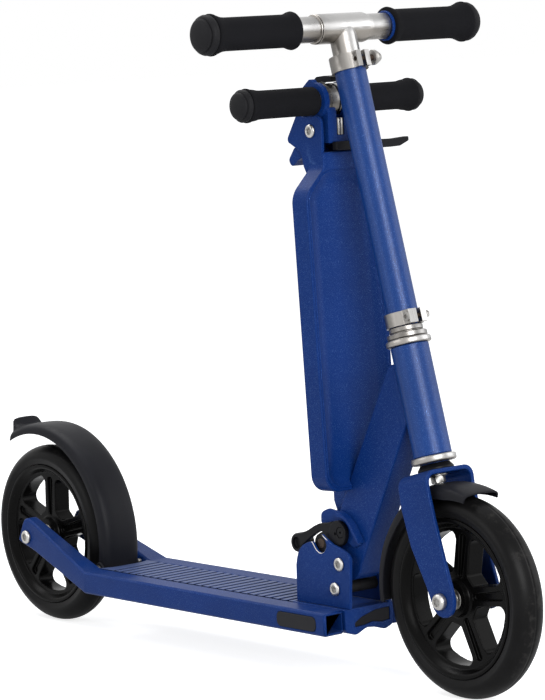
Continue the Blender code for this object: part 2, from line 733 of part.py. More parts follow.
def rear_fender_point(u, v):
    flip = max(0.0, min(1.0, (0.62 - abs(v)) / 0.25))
    crown_angle = blend(((0.0, -15.0), (0.86, 106.0), (0.93, 111.0), (1.0, 112.0)), u)
    crown = REAR_FENDER_RADIUS + flip * blend(((0.0, 0.0), (0.86, 0.0), (0.93, 4.0), (1.0, 13.5)), u)
    edge_angle = blend(((0.0, -15.0), (1.0, 117.0)), u)
    edge = REAR_FENDER_EDGE + blend(((0.0, 0.0), (0.5, 0.0), (1.0, 4.0)), u)
    phi = v * math.pi / 2.0
    weight = abs(math.cos(phi)) ** 0.5
    y = REAR_FENDER_HALF_WIDTH * math.copysign(abs(math.sin(phi)) ** 0.62, v)
    a = math.radians(edge_angle + (crown_angle - edge_angle) * weight)
    r = edge + (crown - edge) * weight
    return REAR_X + r * math.cos(a), y, WHEEL_RADIUS + r * math.sin(a)


def rear_fender():
    obj = mapped_shell(
        "rear_fender", 14, 6, rear_fender_point, FENDER_WALL, (REAR_X, WHEEL_RADIUS), "brake_frame", "black"
    )
    edge = REAR_FENDER_HALF_WIDTH
    for side in (-1.0, 1.0):
        tag = "right" if side < 0.0 else "left"
        boss = rod(
            "fender_boss_" + tag, (BRAKE_X, side * (edge - 4.5), BRAKE_Z), (BRAKE_X, side * (edge + 1.2), BRAKE_Z), 6.5,
            14, cutter=True,
        )
        join(obj, boss)
    hole = rod("fender_pin_hole", (BRAKE_X, -60.0, BRAKE_Z), (BRAKE_X, 60.0, BRAKE_Z), 3.0 + GAP, 14, cutter=True)
    cut(obj, hole)
    return finish(obj, "brake_frame", "black")


rear_fender()
pin_reach = RAIL_INNER - GAP
finish(
    rod("fender_pin", (BRAKE_X, -pin_reach, BRAKE_Z), (BRAKE_X, pin_reach, BRAKE_Z), 3.0, 14), "deck_frame", "silver"
)


# Neck: beam, head tube and cups
def neck_outline():
    points = arc(FOLD_X, FOLD_Z, FOOT_RADIUS, -8.0, -185.0, 12)
    points += near_point(FOLD_X, FOLD_Z, [(-21.5, 22.0), (-16.5, 40.0), (-9.5, 57.0)])
    points += near_point(STEER_X, STEER_Z, [(-45.0, 90.4), (-16.6, 97.4), (-6.6, 47.4), (-22.1, 33.4)])
    return points


def head_tube_cutter(name, radius):
    return rod(name, (0.0, 0.0, -30.0), (0.0, 0.0, 160.0), radius, TUBE_STEPS, STEER, cutter=True)


def neck_beam():
    obj = prism("neck_beam", neck_outline(), -NECK_HALF_WIDTH, NECK_HALF_WIDTH)
    bevel(obj, 2.5, 2, 60.0)
    cut(obj, head_tube_cutter("neck_seat", HEAD_TUBE_RADIUS + GAP))
    ahead = block("neck_ahead", (0.0, -30.0, -60.0), (60.0, 30.0, 160.0), STEER, cutter=True)
    cut(obj, ahead)
    hole = rod("neck_hole", (FOLD_X, -40.0, FOLD_Z), (FOLD_X, 40.0, FOLD_Z), BOLT_RADIUS + GAP, 12, cutter=True)
    cut(obj, hole)
    return finish(obj, "neck_frame", "blue")


neck_beam()
HEAD_LOW = 3.0
HEAD_HIGH = HEAD_LOW + HEAD_TUBE_LENGTH
ring("head_tube", HEAD_TUBE_RADIUS, HEAD_TUBE_BORE, HEAD_LOW, HEAD_HIGH, TUBE_STEPS, STEER, "neck_frame", "blue")
SLEEVE_BORE = STEERER_RADIUS + 0.8
ring("cup_lower", CUP_RADIUS, SLEEVE_BORE, HEAD_LOW - GAP - 7.0, HEAD_LOW - GAP, TUBE_STEPS, STEER, "neck_frame", "silver", 1.4)
ring("cup_upper", CUP_RADIUS, SLEEVE_BORE, HEAD_HIGH + GAP, HEAD_HIGH + GAP + 6.6, TUBE_STEPS, STEER, "neck_frame", "silver", 1.4)


# Latch: guard and screw on the neck, lever and pin on the latch
def latch_guard():
    near = -CHEEK_INNER + GAP + 0.1
    side = -NECK_HALF_WIDTH - GAP
    back = [
        (-24.5, 8.5, 3.0), (-22.5, 16.5, 5.0), (-10.0, 23.0, 6.0), (5.0, 19.5, 6.0), (21.0, 13.5, 5.0),
        (30.0, -0.5, 3.0), (31.5, -8.5, 1.0), (26.0, -8.5, 1.0), (19.0, 5.5, 4.0), (4.0, 16.0, 3.0),
        (-10.0, 15.0, 4.0), (-21.0, 8.0, 1.5),
    ]
    back = rounded([(CAM_X + x, CAM_Z + z, r) for x, z, r in back], 3)
    obj = prism("lever_guard", back, side - 2.4, side)
    hood = arc(CAM_X, CAM_Z, 18.5, 84.0, -12.0, 8)
    hood += near_point(CAM_X, CAM_Z, [(27.5, -7.5), (30.0, -0.5), (21.0, 12.5), (8.5, 20.0)])
    join(obj, prism("lever_guard_hood", hood, near, side - 0.4, cutter=True))
    return finish(obj, "neck_frame", "blue")


LATCH_NEAR = -CHEEK_INNER + GAP + 0.1
LATCH_FAR = -NECK_HALF_WIDTH - 2.0 * GAP
LATCH_STEP = LATCH_FAR - 3.4


def swept_outline(x0, z0, r0, x1, z1, r1, steps=5):
    along = math.degrees(math.atan2(z1 - z0, x1 - x0))
    spread = math.degrees(math.acos((r0 - r1) / math.hypot(x1 - x0, z1 - z0)))
    first = arc(x0, z0, r0, along + spread, along + 360.0 - spread, steps)
    second = arc(x1, z1, r1, along - spread, along + spread, steps)
    return first + second


def latch():
    arm_x = CAM_X - 13.5
    arm_z = CAM_Z + 5.5
    obj = rod("latch_lever", (CAM_X, LATCH_NEAR, CAM_Z), (CAM_X, LATCH_FAR, CAM_Z), CAM_RADIUS, 18)
    arm = prism(
        "latch_arm", swept_outline(arm_x, arm_z, 4.6, KNOB_X, KNOB_Z, 5.2), LATCH_NEAR + 0.3, LATCH_FAR - 1.0, cutter=True
    )
    join(obj, arm)
    finger = prism(
        "latch_finger", swept_outline(CAM_X, CAM_Z, 9.0, LATCH_PIN_X, LATCH_PIN_Z, 8.3), LATCH_STEP, LATCH_FAR - 0.2,
        cutter=True,
    )
    join(obj, finger)
    join(obj, rod("latch_knob", (KNOB_X, LATCH_NEAR + 0.5, KNOB_Z), (KNOB_X, -6.0, KNOB_Z), KNOB_RADIUS, 16, cutter=True))
    cut(obj, rod("latch_knob_cup", (KNOB_X, -40.0, KNOB_Z), (KNOB_X, LATCH_NEAR + 4.0, KNOB_Z), 6.5, 16, cutter=True))
    cut(obj, rod("latch_bore", (CAM_X, -40.0, CAM_Z), (CAM_X, -10.0, CAM_Z), 3.0 + GAP, 14, cutter=True))
    cut(obj, rod("latch_seat", (CAM_X, -40.0, CAM_Z), (CAM_X, LATCH_NEAR + 2.9, CAM_Z), 5.5 + GAP, 14, cutter=True))
    cut(obj, rod("latch_pin_hole", (LATCH_PIN_X, -40.0, LATCH_PIN_Z), (LATCH_PIN_X, -10.0, LATCH_PIN_Z), 4.0 + GAP, 14,
                 cutter=True))
    finish(obj, "latch_frame", "black")
    profile = [
        (0.0, LATCH_FAR), (4.0, LATCH_FAR), (4.0, LATCH_STEP - GAP), (6.0, LATCH_STEP - GAP), (6.0, LATCH_NEAR + 0.6),
        (5.4, LATCH_NEAR), (0.0, LATCH_NEAR),
    ]
    finish(turned("latch_pin", profile, 12, along_y(LATCH_PIN_X, LATCH_PIN_Z)), "latch_frame", "silver")
    profile = [
        (0.0, -NECK_HALF_WIDTH - GAP), (3.0, -NECK_HALF_WIDTH - GAP), (3.0, LATCH_NEAR + 2.6), (5.5, LATCH_NEAR + 2.6),
        (5.5, LATCH_NEAR + 0.9), (4.9, LATCH_NEAR + 0.4), (2.2, LATCH_NEAR + 0.4), (2.0, LATCH_NEAR + 1.6),
        (0.0, LATCH_NEAR + 1.6),
    ]
    finish(turned("latch_screw", profile, BOLT_STEPS, along_y(CAM_X, CAM_Z)), "neck_frame", "silver")


latch_guard()
latch()


# Upright column with its strut and two ears
def post_outline(inset):
    wide = POST_HALF_WIDTH - inset
    slim = POST_NECK_HALF_WIDTH - inset
    low = inset
    shoulder = POST_SHOULDER - POST_BOTTOM
    top = POST_TOP - POST_BOTTOM - inset * 1.6
    right = rounded([
        (0.0, low, 0.0), (wide, low, 17.0 - inset * 0.7), (wide, shoulder, 24.0), (slim, shoulder + 25.0, 10.0),
        (slim, top, 4.0), (0.0, top, 0.0),
    ], 2)
    return right + [(-y, z) for y, z in right[::-1] if y > 0.01]


def tray_outline(inset):
    wide = POST_HALF_WIDTH - inset
    shoulder = POST_SHOULDER - POST_BOTTOM
    top = shoulder + 24.5 - inset
    slim = wide - (top - shoulder) - inset * 0.4
    right = rounded([
        (0.0, inset, 0.0), (wide, inset, 17.0 - inset * 0.7), (wide, shoulder - inset * 0.4, 20.0), (slim, top, 9.0),
        (0.0, top, 0.0),
    ], 2)
    return right + [(-y, z) for y, z in right[::-1] if y > 0.01]


def post():
    obj = prism("post", post_outline(0.0), -POST_DEPTH, 0.0, "YZ", POST_FRAME)
    bevel(obj, 1.4, 1, 50.0)
    cut(obj, prism("post_groove", tray_outline(3.8), -1.4, 5.0, "YZ", POST_FRAME, cutter=True))
    dish = prism("post_dish", tray_outline(8.4), -4.0, 5.0, "YZ", POST_FRAME, cutter=True)
    cut(obj, dish)
    strut = near_point(FOLD_X, FOLD_Z, [
        (-28.0, 105.0), (-1.0, 105.0), (17.0, 85.0), (8.0, 70.0), (-12.0, 38.0), (-22.0, 46.0), (-28.0, 60.0),
    ])
    join(obj, prism("post_strut", strut, -8.0, 8.0, cutter=True))
    ear = near_point(TILT_X, TILT_Z, [
        (-16.1, -46.0), (12.0, -46.0), (15.0, -28.0), (16.3, -14.0), (16.3, 6.0), (11.8, 12.0), (1.3, 12.5),
        (-12.2, 15.5), (-21.7, 14.0), (-37.3, -6.5), (-36.5, -11.4), (-21.3, -19.0), (-15.7, -29.0),
    ])
    for side in (-1.0, 1.0):
        tag = "right" if side < 0.0 else "left"
        a = side * EAR_INNER
        b = side * EAR_OUTER
        plate = prism("post_ear_" + tag, ear, min(a, b), max(a, b), cutter=True)
        join(obj, plate)
    web = (TILT_X - 15.0, -EAR_INNER - 0.5, POST_TOP - 10.0), (TILT_X - 10.5, EAR_INNER + 0.5, TILT_Z - 14.0)
    join(obj, block("post_web", web[0], web[1], cutter=True))
    tail = swept_outline(TILT_X - 15.7, TILT_Z - 24.0, 4.2, TILT_X - 24.7, TILT_Z - 32.0, 4.6)
    join(obj, prism("post_tail", tail, -7.0, 7.0, cutter=True))
    cut(obj, rod("post_bar_way", (LOW_BAR_X, -60.0, LOW_BAR_Z), (LOW_BAR_X, 60.0, LOW_BAR_Z), 19.6, 20, cutter=True))
    cut(obj, rod("post_bar_swing", (LOW_BAR_X - 9.5, -60.0, LOW_BAR_Z - 0.8), (LOW_BAR_X - 9.5, 60.0, LOW_BAR_Z - 0.8),
                 15.6, 20, cutter=True))
    cut(obj, rod("post_tilt_hole", (TILT_X, -60.0, TILT_Z), (TILT_X, 60.0, TILT_Z), BOLT_RADIUS + GAP, 12, cutter=True))
    cut(obj, prism("post_neck_clearance", grown(neck_outline(), GAP), -NECK_HALF_WIDTH - GAP, NECK_HALF_WIDTH + GAP,
                   cutter=True))
    return finish(obj, "neck_frame", "blue")


post()


def tilt_bolt():
    head = EAR_OUTER + GAP
    inner = EAR_INNER - GAP
    near = LUG_HALF_WIDTH + GAP
    profile = [
        (0.0, head + 4.4), (5.0, head + 4.4), (6.6, head + 3.0), (6.6, head), (BOLT_RADIUS, head),
        (BOLT_RADIUS, inner), (6.6, inner), (6.6, near), (BOLT_RADIUS, near), (BOLT_RADIUS, -near), (6.6, -near),
        (6.6, -inner), (BOLT_RADIUS, -inner), (BOLT_RADIUS, -head), (6.8, -head), (6.8, -head - 1.6),
        (5.2, -head - 3.2), (3.6, -head - 3.6), (3.2, -head - 2.2), (0.0, -head - 2.0),
    ]
    return finish(turned("bar_hinge_bolt", profile, BOLT_STEPS, along_y(TILT_X, TILT_Z)), "neck_frame", "silver")


tilt_bolt()


# Fork, headset and steering tube
LEG_CUT = LEG_OUTER + 10.0


def fork():
    top = CROWN_TOP
    inner_top = CROWN_TOP - CROWN_THICKNESS
    low = AXLE_S - 40.0
    right = rounded([(LEG_OUTER, low, 0.0), (LEG_OUTER, top, 11.0), (0.0, top, 0.0)], 5)
    inside = rounded([(0.0, inner_top, 0.0), (LEG_INNER, inner_top, 7.5), (LEG_INNER, low, 0.0)], 4)
    outline = right[:-1] + [(-y, z) for y, z in right[:-1][::-1]]
    outline += [(-y, z) for y, z in inside[::-1]] + inside[1:]
    obj = prism("fork", outline, -60.0, 60.0, "YZ", STEER)
    side = arc(AXLE_T + 1.3, AXLE_S, 16.5, -175.0, -5.0, 10)
    side += [(21.0, AXLE_S + 6.0), (19.0, -100.0), (17.0, -60.0), (17.0, -30.0), (20.0, top + 4.0)]
    side += [(-24.0, top + 4.0), (-27.5, -40.0), (-25.0, -80.0), (-14.5, -122.0)]
    common(obj, prism("fork_side", side, -LEG_CUT, LEG_CUT, "XZ", STEER, cutter=True))
    bevel(obj, 0.8, 1, 50.0)
    join(obj, rod("fork_steerer", (0.0, 0.0, top - 2.0), (0.0, 0.0, 160.0), STEERER_RADIUS, TUBE_STEPS, STEER, cutter=True))
    hole = rod("fork_axle_hole", (AXLE_T, -60.0, AXLE_S), (AXLE_T, 60.0, AXLE_S), AXLE_RADIUS + GAP, 24, STEER, cutter=True)
    cut(obj, hole)
    return finish(obj, "steering_frame", "blue")


fork()
RACE_BORE = STEERER_RADIUS + GAP
race_profile = [
    (RACE_BORE + 0.6, HEAD_LOW - 8.0), (CUP_RADIUS - 4.5, CROWN_TOP + 2.0), (CUP_RADIUS - 4.5, CROWN_TOP + GAP),
    (RACE_BORE, CROWN_TOP + GAP), (RACE_BORE, HEAD_LOW - 8.0),
]
finish(turned("crown_race", race_profile, TUBE_STEPS, STEER, closed=True), "steering_frame", "black")
NUT_LOW = HEAD_HIGH + GAP + 6.6 + GAP
NUT_HIGH = NUT_LOW + 11.4
nut_profile = [
    (16.6, NUT_HIGH), (17.0, NUT_HIGH - 0.4), (17.0, NUT_HIGH - 5.4), (19.4, NUT_HIGH - 5.8), (20.0, NUT_HIGH - 6.4),
    (20.0, NUT_LOW + 0.6), (19.4, NUT_LOW), (RACE_BORE, NUT_LOW), (RACE_BORE, NUT_HIGH),
]
finish(turned("headset_nut", nut_profile, TUBE_STEPS, STEER, closed=True), "steering_frame", "silver")
TUBE_LOW = NUT_HIGH + GAP
ring(
    "steering_tube", TUBE_RADIUS, STEERER_RADIUS + 0.4, TUBE_LOW, TUBE_TOP, TUBE_STEPS, STEER, "steering_frame", "blue", 0.6
)


def clamp_outline(near, far):
    slit = 2.5
    front = CLAMP_RADIUS + 5.25
    out_near = math.degrees(math.asin(near / CLAMP_RADIUS))
    out_far = math.degrees(math.asin(far / CLAMP_RADIUS))
    open_in = math.degrees(math.asin(slit / (TUBE_RADIUS + GAP)))
    points = [(front, slit), (front - 0.8, far), (CLAMP_RADIUS * math.cos(math.radians(out_far)) + 1.0, far)]
    points += arc(0.0, 0.0, CLAMP_RADIUS, out_far + 3.0, 360.0 - out_near - 3.0, 14)
    points += [(CLAMP_RADIUS * math.cos(math.radians(out_near)) + 1.0, -near), (front - 0.8, -near), (front, -slit)]
    points += arc(0.0, 0.0, TUBE_RADIUS + GAP, 360.0 - open_in, open_in, 16)
    return points


def clamp(name, low, high, near, far, cap_nut):
    obj = prism(name, clamp_outline(near, far), low, high, "XY", STEER)
    middle = (low + high) / 2.0
    reach = CLAMP_RADIUS + 1.05
    cut(obj, rod(name + "_hole", (reach, -30.0, middle), (reach, 30.0, middle), 2.2 + GAP, 16, STEER, cutter=True))
    finish(obj, "steering_frame", "silver")
    face = far + GAP
    if cap_nut:
        top = [
            (0.0, face + 15.0), (3.4, face + 14.4), (6.2, face + 11.4), (7.6, face + 8.0), (7.6, face + 6.0),
            (2.9, face + 5.4), (2.9, face), (2.2, face),
        ]
        low_end = [(2.2, 0.4 - near), (0.0, 0.4 - near)]
    else:
        top = [(0.0, face + 4.0), (2.2, face + 4.0), (2.2, face + 3.1), (4.0, face + 3.1), (4.0, face), (2.2, face)]
        low_end = [(2.2, -near - GAP), (4.8, -near - GAP), (4.6, -near - GAP - 1.4), (0.0, -near - GAP - 1.4)]
    frame = STEER @ Matrix.Translation((reach * MM, 0.0, middle * MM)) @ Matrix.Rotation(-math.pi / 2.0, 4, "X")
    finish(turned(name + "_bolt", top + low_end, BOLT_STEPS, frame), "steering_frame", "silver")


clamp("clamp_lower", TUBE_LOW + 0.2, TUBE_LOW + 14.0, 12.5, 10.5, False)
clamp("clamp_upper", TUBE_TOP - 13.0, TUBE_TOP + 3.0, 7.5, 9.0, True)


# Front fender, held under the fork crown
def front_fender_point(u, v):
    angle = math.radians(74.0 + 113.0 * u)
    crown = FRONT_FENDER_RADIUS + blend(((0.0, -3.5), (0.28, 0.0), (0.6, -4.5), (1.0, -6.5)), u)
    drop = blend(((0.0, 9.0), (0.15, 14.0), (0.5, 13.0), (1.0, 10.0)), u)
    phi = v * math.pi / 2.0
    y = FRONT_FENDER_HALF_WIDTH * math.copysign(abs(math.sin(phi)) ** 0.62, v)
    r = crown - drop * (1.0 - abs(math.cos(phi)) ** 0.5)
    return FRONT_X + r * math.cos(angle), y, WHEEL_RADIUS + r * math.sin(angle)


fender = mapped_shell(
    "front_fender", 12, 6, front_fender_point, FENDER_WALL, (FRONT_X, WHEEL_RADIUS), "steering_frame", "black"
)
finish(fender, "steering_frame", "black")
CROWN_UNDER = CROWN_TOP - CROWN_THICKNESS - GAP
CROWN_BOLT_FOOT = AXLE_S + math.sqrt((FRONT_FENDER_RADIUS + 0.4) ** 2 - AXLE_T ** 2)
crown_profile = [
    (10.0, CROWN_UNDER), (10.0, CROWN_UNDER - 1.4), (7.6, CROWN_UNDER - 1.6), (7.2, CROWN_BOLT_FOOT + 0.7),
    (6.2, CROWN_BOLT_FOOT), (0.0, CROWN_BOLT_FOOT),
]
finish(turned("crown_bolt", [(0.0, CROWN_UNDER)] + crown_profile, 6, STEER), "steering_frame", "silver")
axle_frame = along_y(AXLE_T, AXLE_S, STEER)
axle("front_axle", "steering_frame", LEG_INNER, LEG_OUTER, axle_frame)


# Upper handlebar
BAR_FRAME = along_y(-BAR_SETBACK, BAR_HEIGHT, STEER)


def t_bar():
    sleeve = BAR_SLEEVE_HALF_LENGTH
    half = [
        (BAR_RADIUS - 0.6, BAR_HALF_LENGTH), (BAR_RADIUS, BAR_HALF_LENGTH - 0.6), (BAR_RADIUS, sleeve + 1.6),
        (BAR_SLEEVE_RADIUS, sleeve - 0.6), (BAR_SLEEVE_RADIUS, sleeve - 3.0),
    ]
    profile = [(0.0, BAR_HALF_LENGTH)] + half + [(a, -b) for a, b in half[::-1]] + [(0.0, -BAR_HALF_LENGTH)]
    obj = turned("tbar", profile, TUBE_STEPS, BAR_FRAME)
    stem = turned(
        "tbar_stem",
        [(0.0, BAR_HEIGHT + 6.0), (5.0, BAR_HEIGHT + 5.0), (9.6, BAR_HEIGHT + 2.0), (12.6, BAR_HEIGHT - 3.0),
         (STEM_RADIUS, BAR_HEIGHT - 9.0), (STEM_RADIUS, 170.8), (STEM_RADIUS - 0.8, 170.0), (0.0, 170.0)],
        TUBE_STEPS, STEER, cutter=True,
    )
    join(obj, stem)
    return finish(obj, "t_bar_frame", "silver")


t_bar()


def bar_end(y, side, profile):
    return [(r, side * (y + h)) for r, h in profile] if side > 0.0 else [(r, side * (y + h)) for r, h in profile[::-1]]


def grip(name, side, frame, owner, start, end, bore, slim, flare, flange):
    outer = [
        (bore, end), (flange - 1.6, end), (flange, end - 2.6), (slim + 1.0, end - 11.0),
        (slim, end - 17.0), (slim, start + 9.0), (flare, start + 1.0), (bore, start),
    ]
    profile = outer if side > 0.0 else [(r, -h) for r, h in outer[::-1]]
    return finish(turned(name, profile, GRIP_STEPS, frame, closed=True), owner, "rubber")


def cap(name, side, frame, owner, start, length, radius):
    outer = [
        (0.0, start + length), (radius * 0.5, start + length - 0.6), (radius * 0.82, start + length - 3.6),
        (radius * 0.78, start + length - 4.6), (radius * 0.92, start + length - 5.8), (radius, start + length * 0.34),
        (radius - 0.4, start), (0.0, start),
    ]
    profile = outer if side > 0.0 else [(r, -h) for r, h in outer[::-1]]
    return finish(turned(name, profile, GRIP_STEPS, frame), owner, "rubber")


GRIP_BORE = BAR_RADIUS + GAP
for side, tag in ((-1.0, "right"), (1.0, "left")):
    grip("grip_" + tag, side, BAR_FRAME, "t_bar_frame", GRIP_START, BAR_HALF_LENGTH, GRIP_BORE, GRIP_RADIUS,
         GRIP_RADIUS + 2.6, GRIP_FLANGE_RADIUS)
    cap("cap_" + tag, side, BAR_FRAME, "t_bar_frame", BAR_HALF_LENGTH + GAP, CAP_LENGTH, GRIP_FLANGE_RADIUS - 0.8)
ring("tbar_ring", BAR_RADIUS + 2.0, GRIP_BORE, GRIP_START - GAP - 3.0, GRIP_START - GAP, GRIP_STEPS, BAR_FRAME, "t_bar_frame",
     "blue")


# Lower handlebar
LOW_FRAME = along_y(LOW_BAR_X, LOW_BAR_Z)


def low_bar():
    end = LOW_BAR_HALF_LENGTH
    collar = 16.7
    profile = [
        (0.0, end), (LOW_BAR_RADIUS - 0.6, end), (LOW_BAR_RADIUS, end - 0.6), (LOW_BAR_RADIUS, 13.1),
        (collar - 0.6, 13.1), (collar, 12.5), (collar, 4.0), (collar - 0.5, 3.5), (LOW_BAR_RADIUS, 3.5),
        (LOW_BAR_RADIUS, -end + 0.6), (LOW_BAR_RADIUS - 0.6, -end), (0.0, -end),
    ]
    return finish(turned("lower_bar", profile, TUBE_STEPS, LOW_FRAME), "lower_bar_frame", "silver")


low_bar()
ring("bar_oring", 16.9, LOW_BAR_RADIUS + GAP, 1.2, 3.5 - GAP, GRIP_STEPS, LOW_FRAME, "lower_bar_frame", "rubber", 0.6)
LOW_BORE = LOW_BAR_RADIUS + GAP
for side, tag in ((-1.0, "right"), (1.0, "left")):
    grip("lower_grip_" + tag, side, LOW_FRAME, "lower_bar_frame", LOW_GRIP_START, LOW_BAR_HALF_LENGTH, LOW_BORE,
         LOW_GRIP_RADIUS, LOW_GRIP_RADIUS + 0.1, LOW_GRIP_FLANGE_RADIUS)
    cap("lower_cap_" + tag, side, LOW_FRAME, "lower_bar_frame", LOW_BAR_HALF_LENGTH + GAP, 11.0,
        LOW_GRIP_FLANGE_RADIUS - 0.8)


DRAW_X = LEVER_X - 3.2


def bar_lug():
    side = near_point(TILT_X, TILT_Z, [
        (19.3, -12.5), (19.3, 18.0), (17.3, 26.0), (-12.7, 26.0), (-13.2, 16.0), (-10.2, 7.0),
    ])
    side += arc(TILT_X, TILT_Z, 12.0, 145.0, 285.0, 8)
    obj = prism("bar_lug", side, -LUG_HALF_WIDTH, LUG_HALF_WIDTH)
    room = rod("lug_room", (LOW_BAR_X, -13.9, LOW_BAR_Z), (LOW_BAR_X, 13.9, LOW_BAR_Z), 17.4, 16, cutter=True)
    cut(obj, room)
    for tag, low, high in (("right", -19.5, -13.5), ("left", 13.5, 19.5)):
        disc = rod("lug_ring_" + tag, (LOW_BAR_X, low, LOW_BAR_Z), (LOW_BAR_X, high, LOW_BAR_Z), RING_RADIUS, 16,
                   cutter=True)
        join(obj, disc)
    cut(obj, rod("lug_bore", (LOW_BAR_X, -30.0, LOW_BAR_Z), (LOW_BAR_X, 30.0, LOW_BAR_Z), LOW_BORE, 16, cutter=True))
    cut(obj, rod("lug_tilt_hole", (TILT_X, -30.0, TILT_Z), (TILT_X, 30.0, TILT_Z), BOLT_RADIUS + GAP, 12, cutter=True))
    slot = (TILT_X + 11.1, -4.9, TILT_Z - 5.0), (TILT_X + 29.3, 4.5, TILT_Z + 46.0)
    cut(obj, block("lug_slot", slot[0], slot[1], cutter=True))
    cut(obj, rod("lug_bolt_hole", (DRAW_X, 0.0, TILT_Z - 24.0), (DRAW_X, 0.0, TILT_Z + 6.0), 2.6 + GAP, 16, cutter=True))
    return finish(obj, "lower_bar_frame", "blue")


bar_lug()


# Catch that sits on the two rings
def bar_catch():
    seat = LOW_BAR_Z + RING_RADIUS + GAP
    outline = [
        (-13.0, 15.5, 1.0), (13.5, 19.0, 1.0), (13.0, 23.5, 2.0), (3.0, 24.5, 3.0), (-9.0, 23.5, 3.0), (-15.5, 19.0, 1.5),
    ]
    outline = rounded([(LOW_BAR_X + x, LOW_BAR_Z + z, r) for x, z, r in outline], 3)
    obj = prism("bar_catch", outline, -20.5, 4.0)
    cut(obj, rod("catch_seat", (LOW_BAR_X, -60.0, LOW_BAR_Z), (LOW_BAR_X, 60.0, LOW_BAR_Z), seat - LOW_BAR_Z, 28, cutter=True))
    return finish(obj, "lower_bar_frame", "black")


bar_catch()


# Draw bolt with its cross pin, and the lever that turns on the pin
def draw_bolt():
    head = TILT_Z - 5.0 + GAP
    profile = [
        (0.0, head + 16.7), (4.0, head + 16.7), (4.4, head + 16.1), (4.4, head), (2.6, head), (2.6, LEVER_Z - 3.0),
        (2.0, LEVER_Z - 3.6), (0.0, LEVER_Z - 3.6),
    ]
    obj = turned("draw_bolt", profile, BOLT_STEPS, along_z(DRAW_X, 0.0))
    pin = [(0.0, LEVER_X + 6.7), (2.1, LEVER_X + 6.7), (2.5, LEVER_X + 6.3), (2.5, DRAW_X), (0.0, DRAW_X)]
    frame = Matrix.Translation((0.0, 0.0, LEVER_Z * MM)) @ Matrix.Rotation(math.pi / 2.0, 4, "Y")
    join(obj, turned("draw_bolt_pin", pin, BOLT_STEPS, frame, cutter=True))
    return finish(obj, "lower_bar_frame", "silver")


def clamp_lever():
    back = LEVER_X + 1.0
    front = LEVER_X + 9.0
    low = LEVER_Z - 4.0
    obj = rod("clamp_lever", (back, 0.0, LEVER_Z), (front, 0.0, LEVER_Z), 6.6, 18)
    root = rounded([(-13.5, low, 1.5), (12.0, low, 1.5), (12.0, low + 9.0, 1.5), (-13.5, low + 9.0, 1.5)], 2)
    join(obj, prism("lever_root", root, back + 0.4, front - 0.4, "YZ", cutter=True))
    arm = rounded([
        (8.0, low - 0.2, 1.0), (58.0, low - 1.0, 6.0), (70.0, low - 0.5, 4.0), (82.0, low + 4.0, 1.5),
        (82.0, low + 9.0, 1.5), (60.0, low + 7.5, 8.0), (8.0, low + 8.2, 1.0),
    ], 2)
    join(obj, prism("lever_arm", arm, back + 0.6, front - 0.8, "YZ", cutter=True))
    bore = rod("lever_bore", (back - 10.0, 0.0, LEVER_Z), (LEVER_X + 7.0, 0.0, LEVER_Z), 2.5 + GAP, 16, cutter=True)
    cut(obj, bore)
    return finish(obj, "lever_frame", "black")


draw_bolt()
clamp_lever()
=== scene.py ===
# Looks of a folding kick scooter, laid out as a Blender add-on and run as a script.
# Lengths in the drawing calls are in millimetres; MM turns them into metres.
# X points forward, Y to the left side, Z up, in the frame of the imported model.
import json
import math

import bpy
from mathutils import Matrix, Vector


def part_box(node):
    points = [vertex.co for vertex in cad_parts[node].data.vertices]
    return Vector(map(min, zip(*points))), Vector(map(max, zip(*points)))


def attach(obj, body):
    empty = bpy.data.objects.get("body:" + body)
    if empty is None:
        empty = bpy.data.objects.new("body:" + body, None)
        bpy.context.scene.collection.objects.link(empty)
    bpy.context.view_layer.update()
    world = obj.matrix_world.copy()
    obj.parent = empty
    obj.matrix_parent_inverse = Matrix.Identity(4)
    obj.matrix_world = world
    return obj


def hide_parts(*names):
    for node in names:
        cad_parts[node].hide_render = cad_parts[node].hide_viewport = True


bl_info = {
    "name": "Folding Kick Scooter",
    "version": (1, 0, 0),
    "blender": (4, 5, 0),
    "location": "3D View > Sidebar > Scooter",
    "description": "Models and finishes a folding kick scooter around its packed frame",
    "category": "Object",
}

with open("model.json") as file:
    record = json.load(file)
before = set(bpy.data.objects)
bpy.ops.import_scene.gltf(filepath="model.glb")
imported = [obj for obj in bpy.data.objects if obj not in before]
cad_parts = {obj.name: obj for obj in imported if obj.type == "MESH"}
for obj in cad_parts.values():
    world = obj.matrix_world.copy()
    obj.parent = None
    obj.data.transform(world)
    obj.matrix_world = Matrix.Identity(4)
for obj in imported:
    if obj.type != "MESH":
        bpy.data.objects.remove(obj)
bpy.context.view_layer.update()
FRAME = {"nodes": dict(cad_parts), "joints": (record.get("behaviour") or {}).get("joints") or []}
JOINTS = {joint["name"]: joint for joint in FRAME["joints"]}
MM = 0.001
# Clearance between neighbouring pieces, in millimetres
GAP = 0.3
# Points closer than this, in metres, become one
MERGE = 2e-6
WORLD = Matrix.Identity(4)
HALF_TURN = Matrix.Rotation(math.pi, 4, "X")


def joint_place(name):
    """The joint's point in millimetres."""
    return Vector(JOINTS[name]["pos_m"]) / MM


def frame_along(origin, up):
    """A frame with its origin in millimetres, Z along up and Y kept to the scooter's left."""
    z = Vector(up).normalized()
    y = Vector((0.0, 1.0, 0.0))
    x = y.cross(z).normalized()
    turn = Matrix((x, y, z)).transposed().to_4x4()
    return Matrix.Translation(Vector(origin) * MM) @ turn


def along_y(x, z, frame=WORLD):
    """A frame for turned pieces whose axis runs along Y through that point."""
    return frame @ Matrix.Translation((x * MM, 0.0, z * MM)) @ Matrix.Rotation(-math.pi / 2.0, 4, "X")


def facing_right(x, z):
    """The same frame with its Z pointing to the scooter's right."""
    return along_y(x, z) @ HALF_TURN


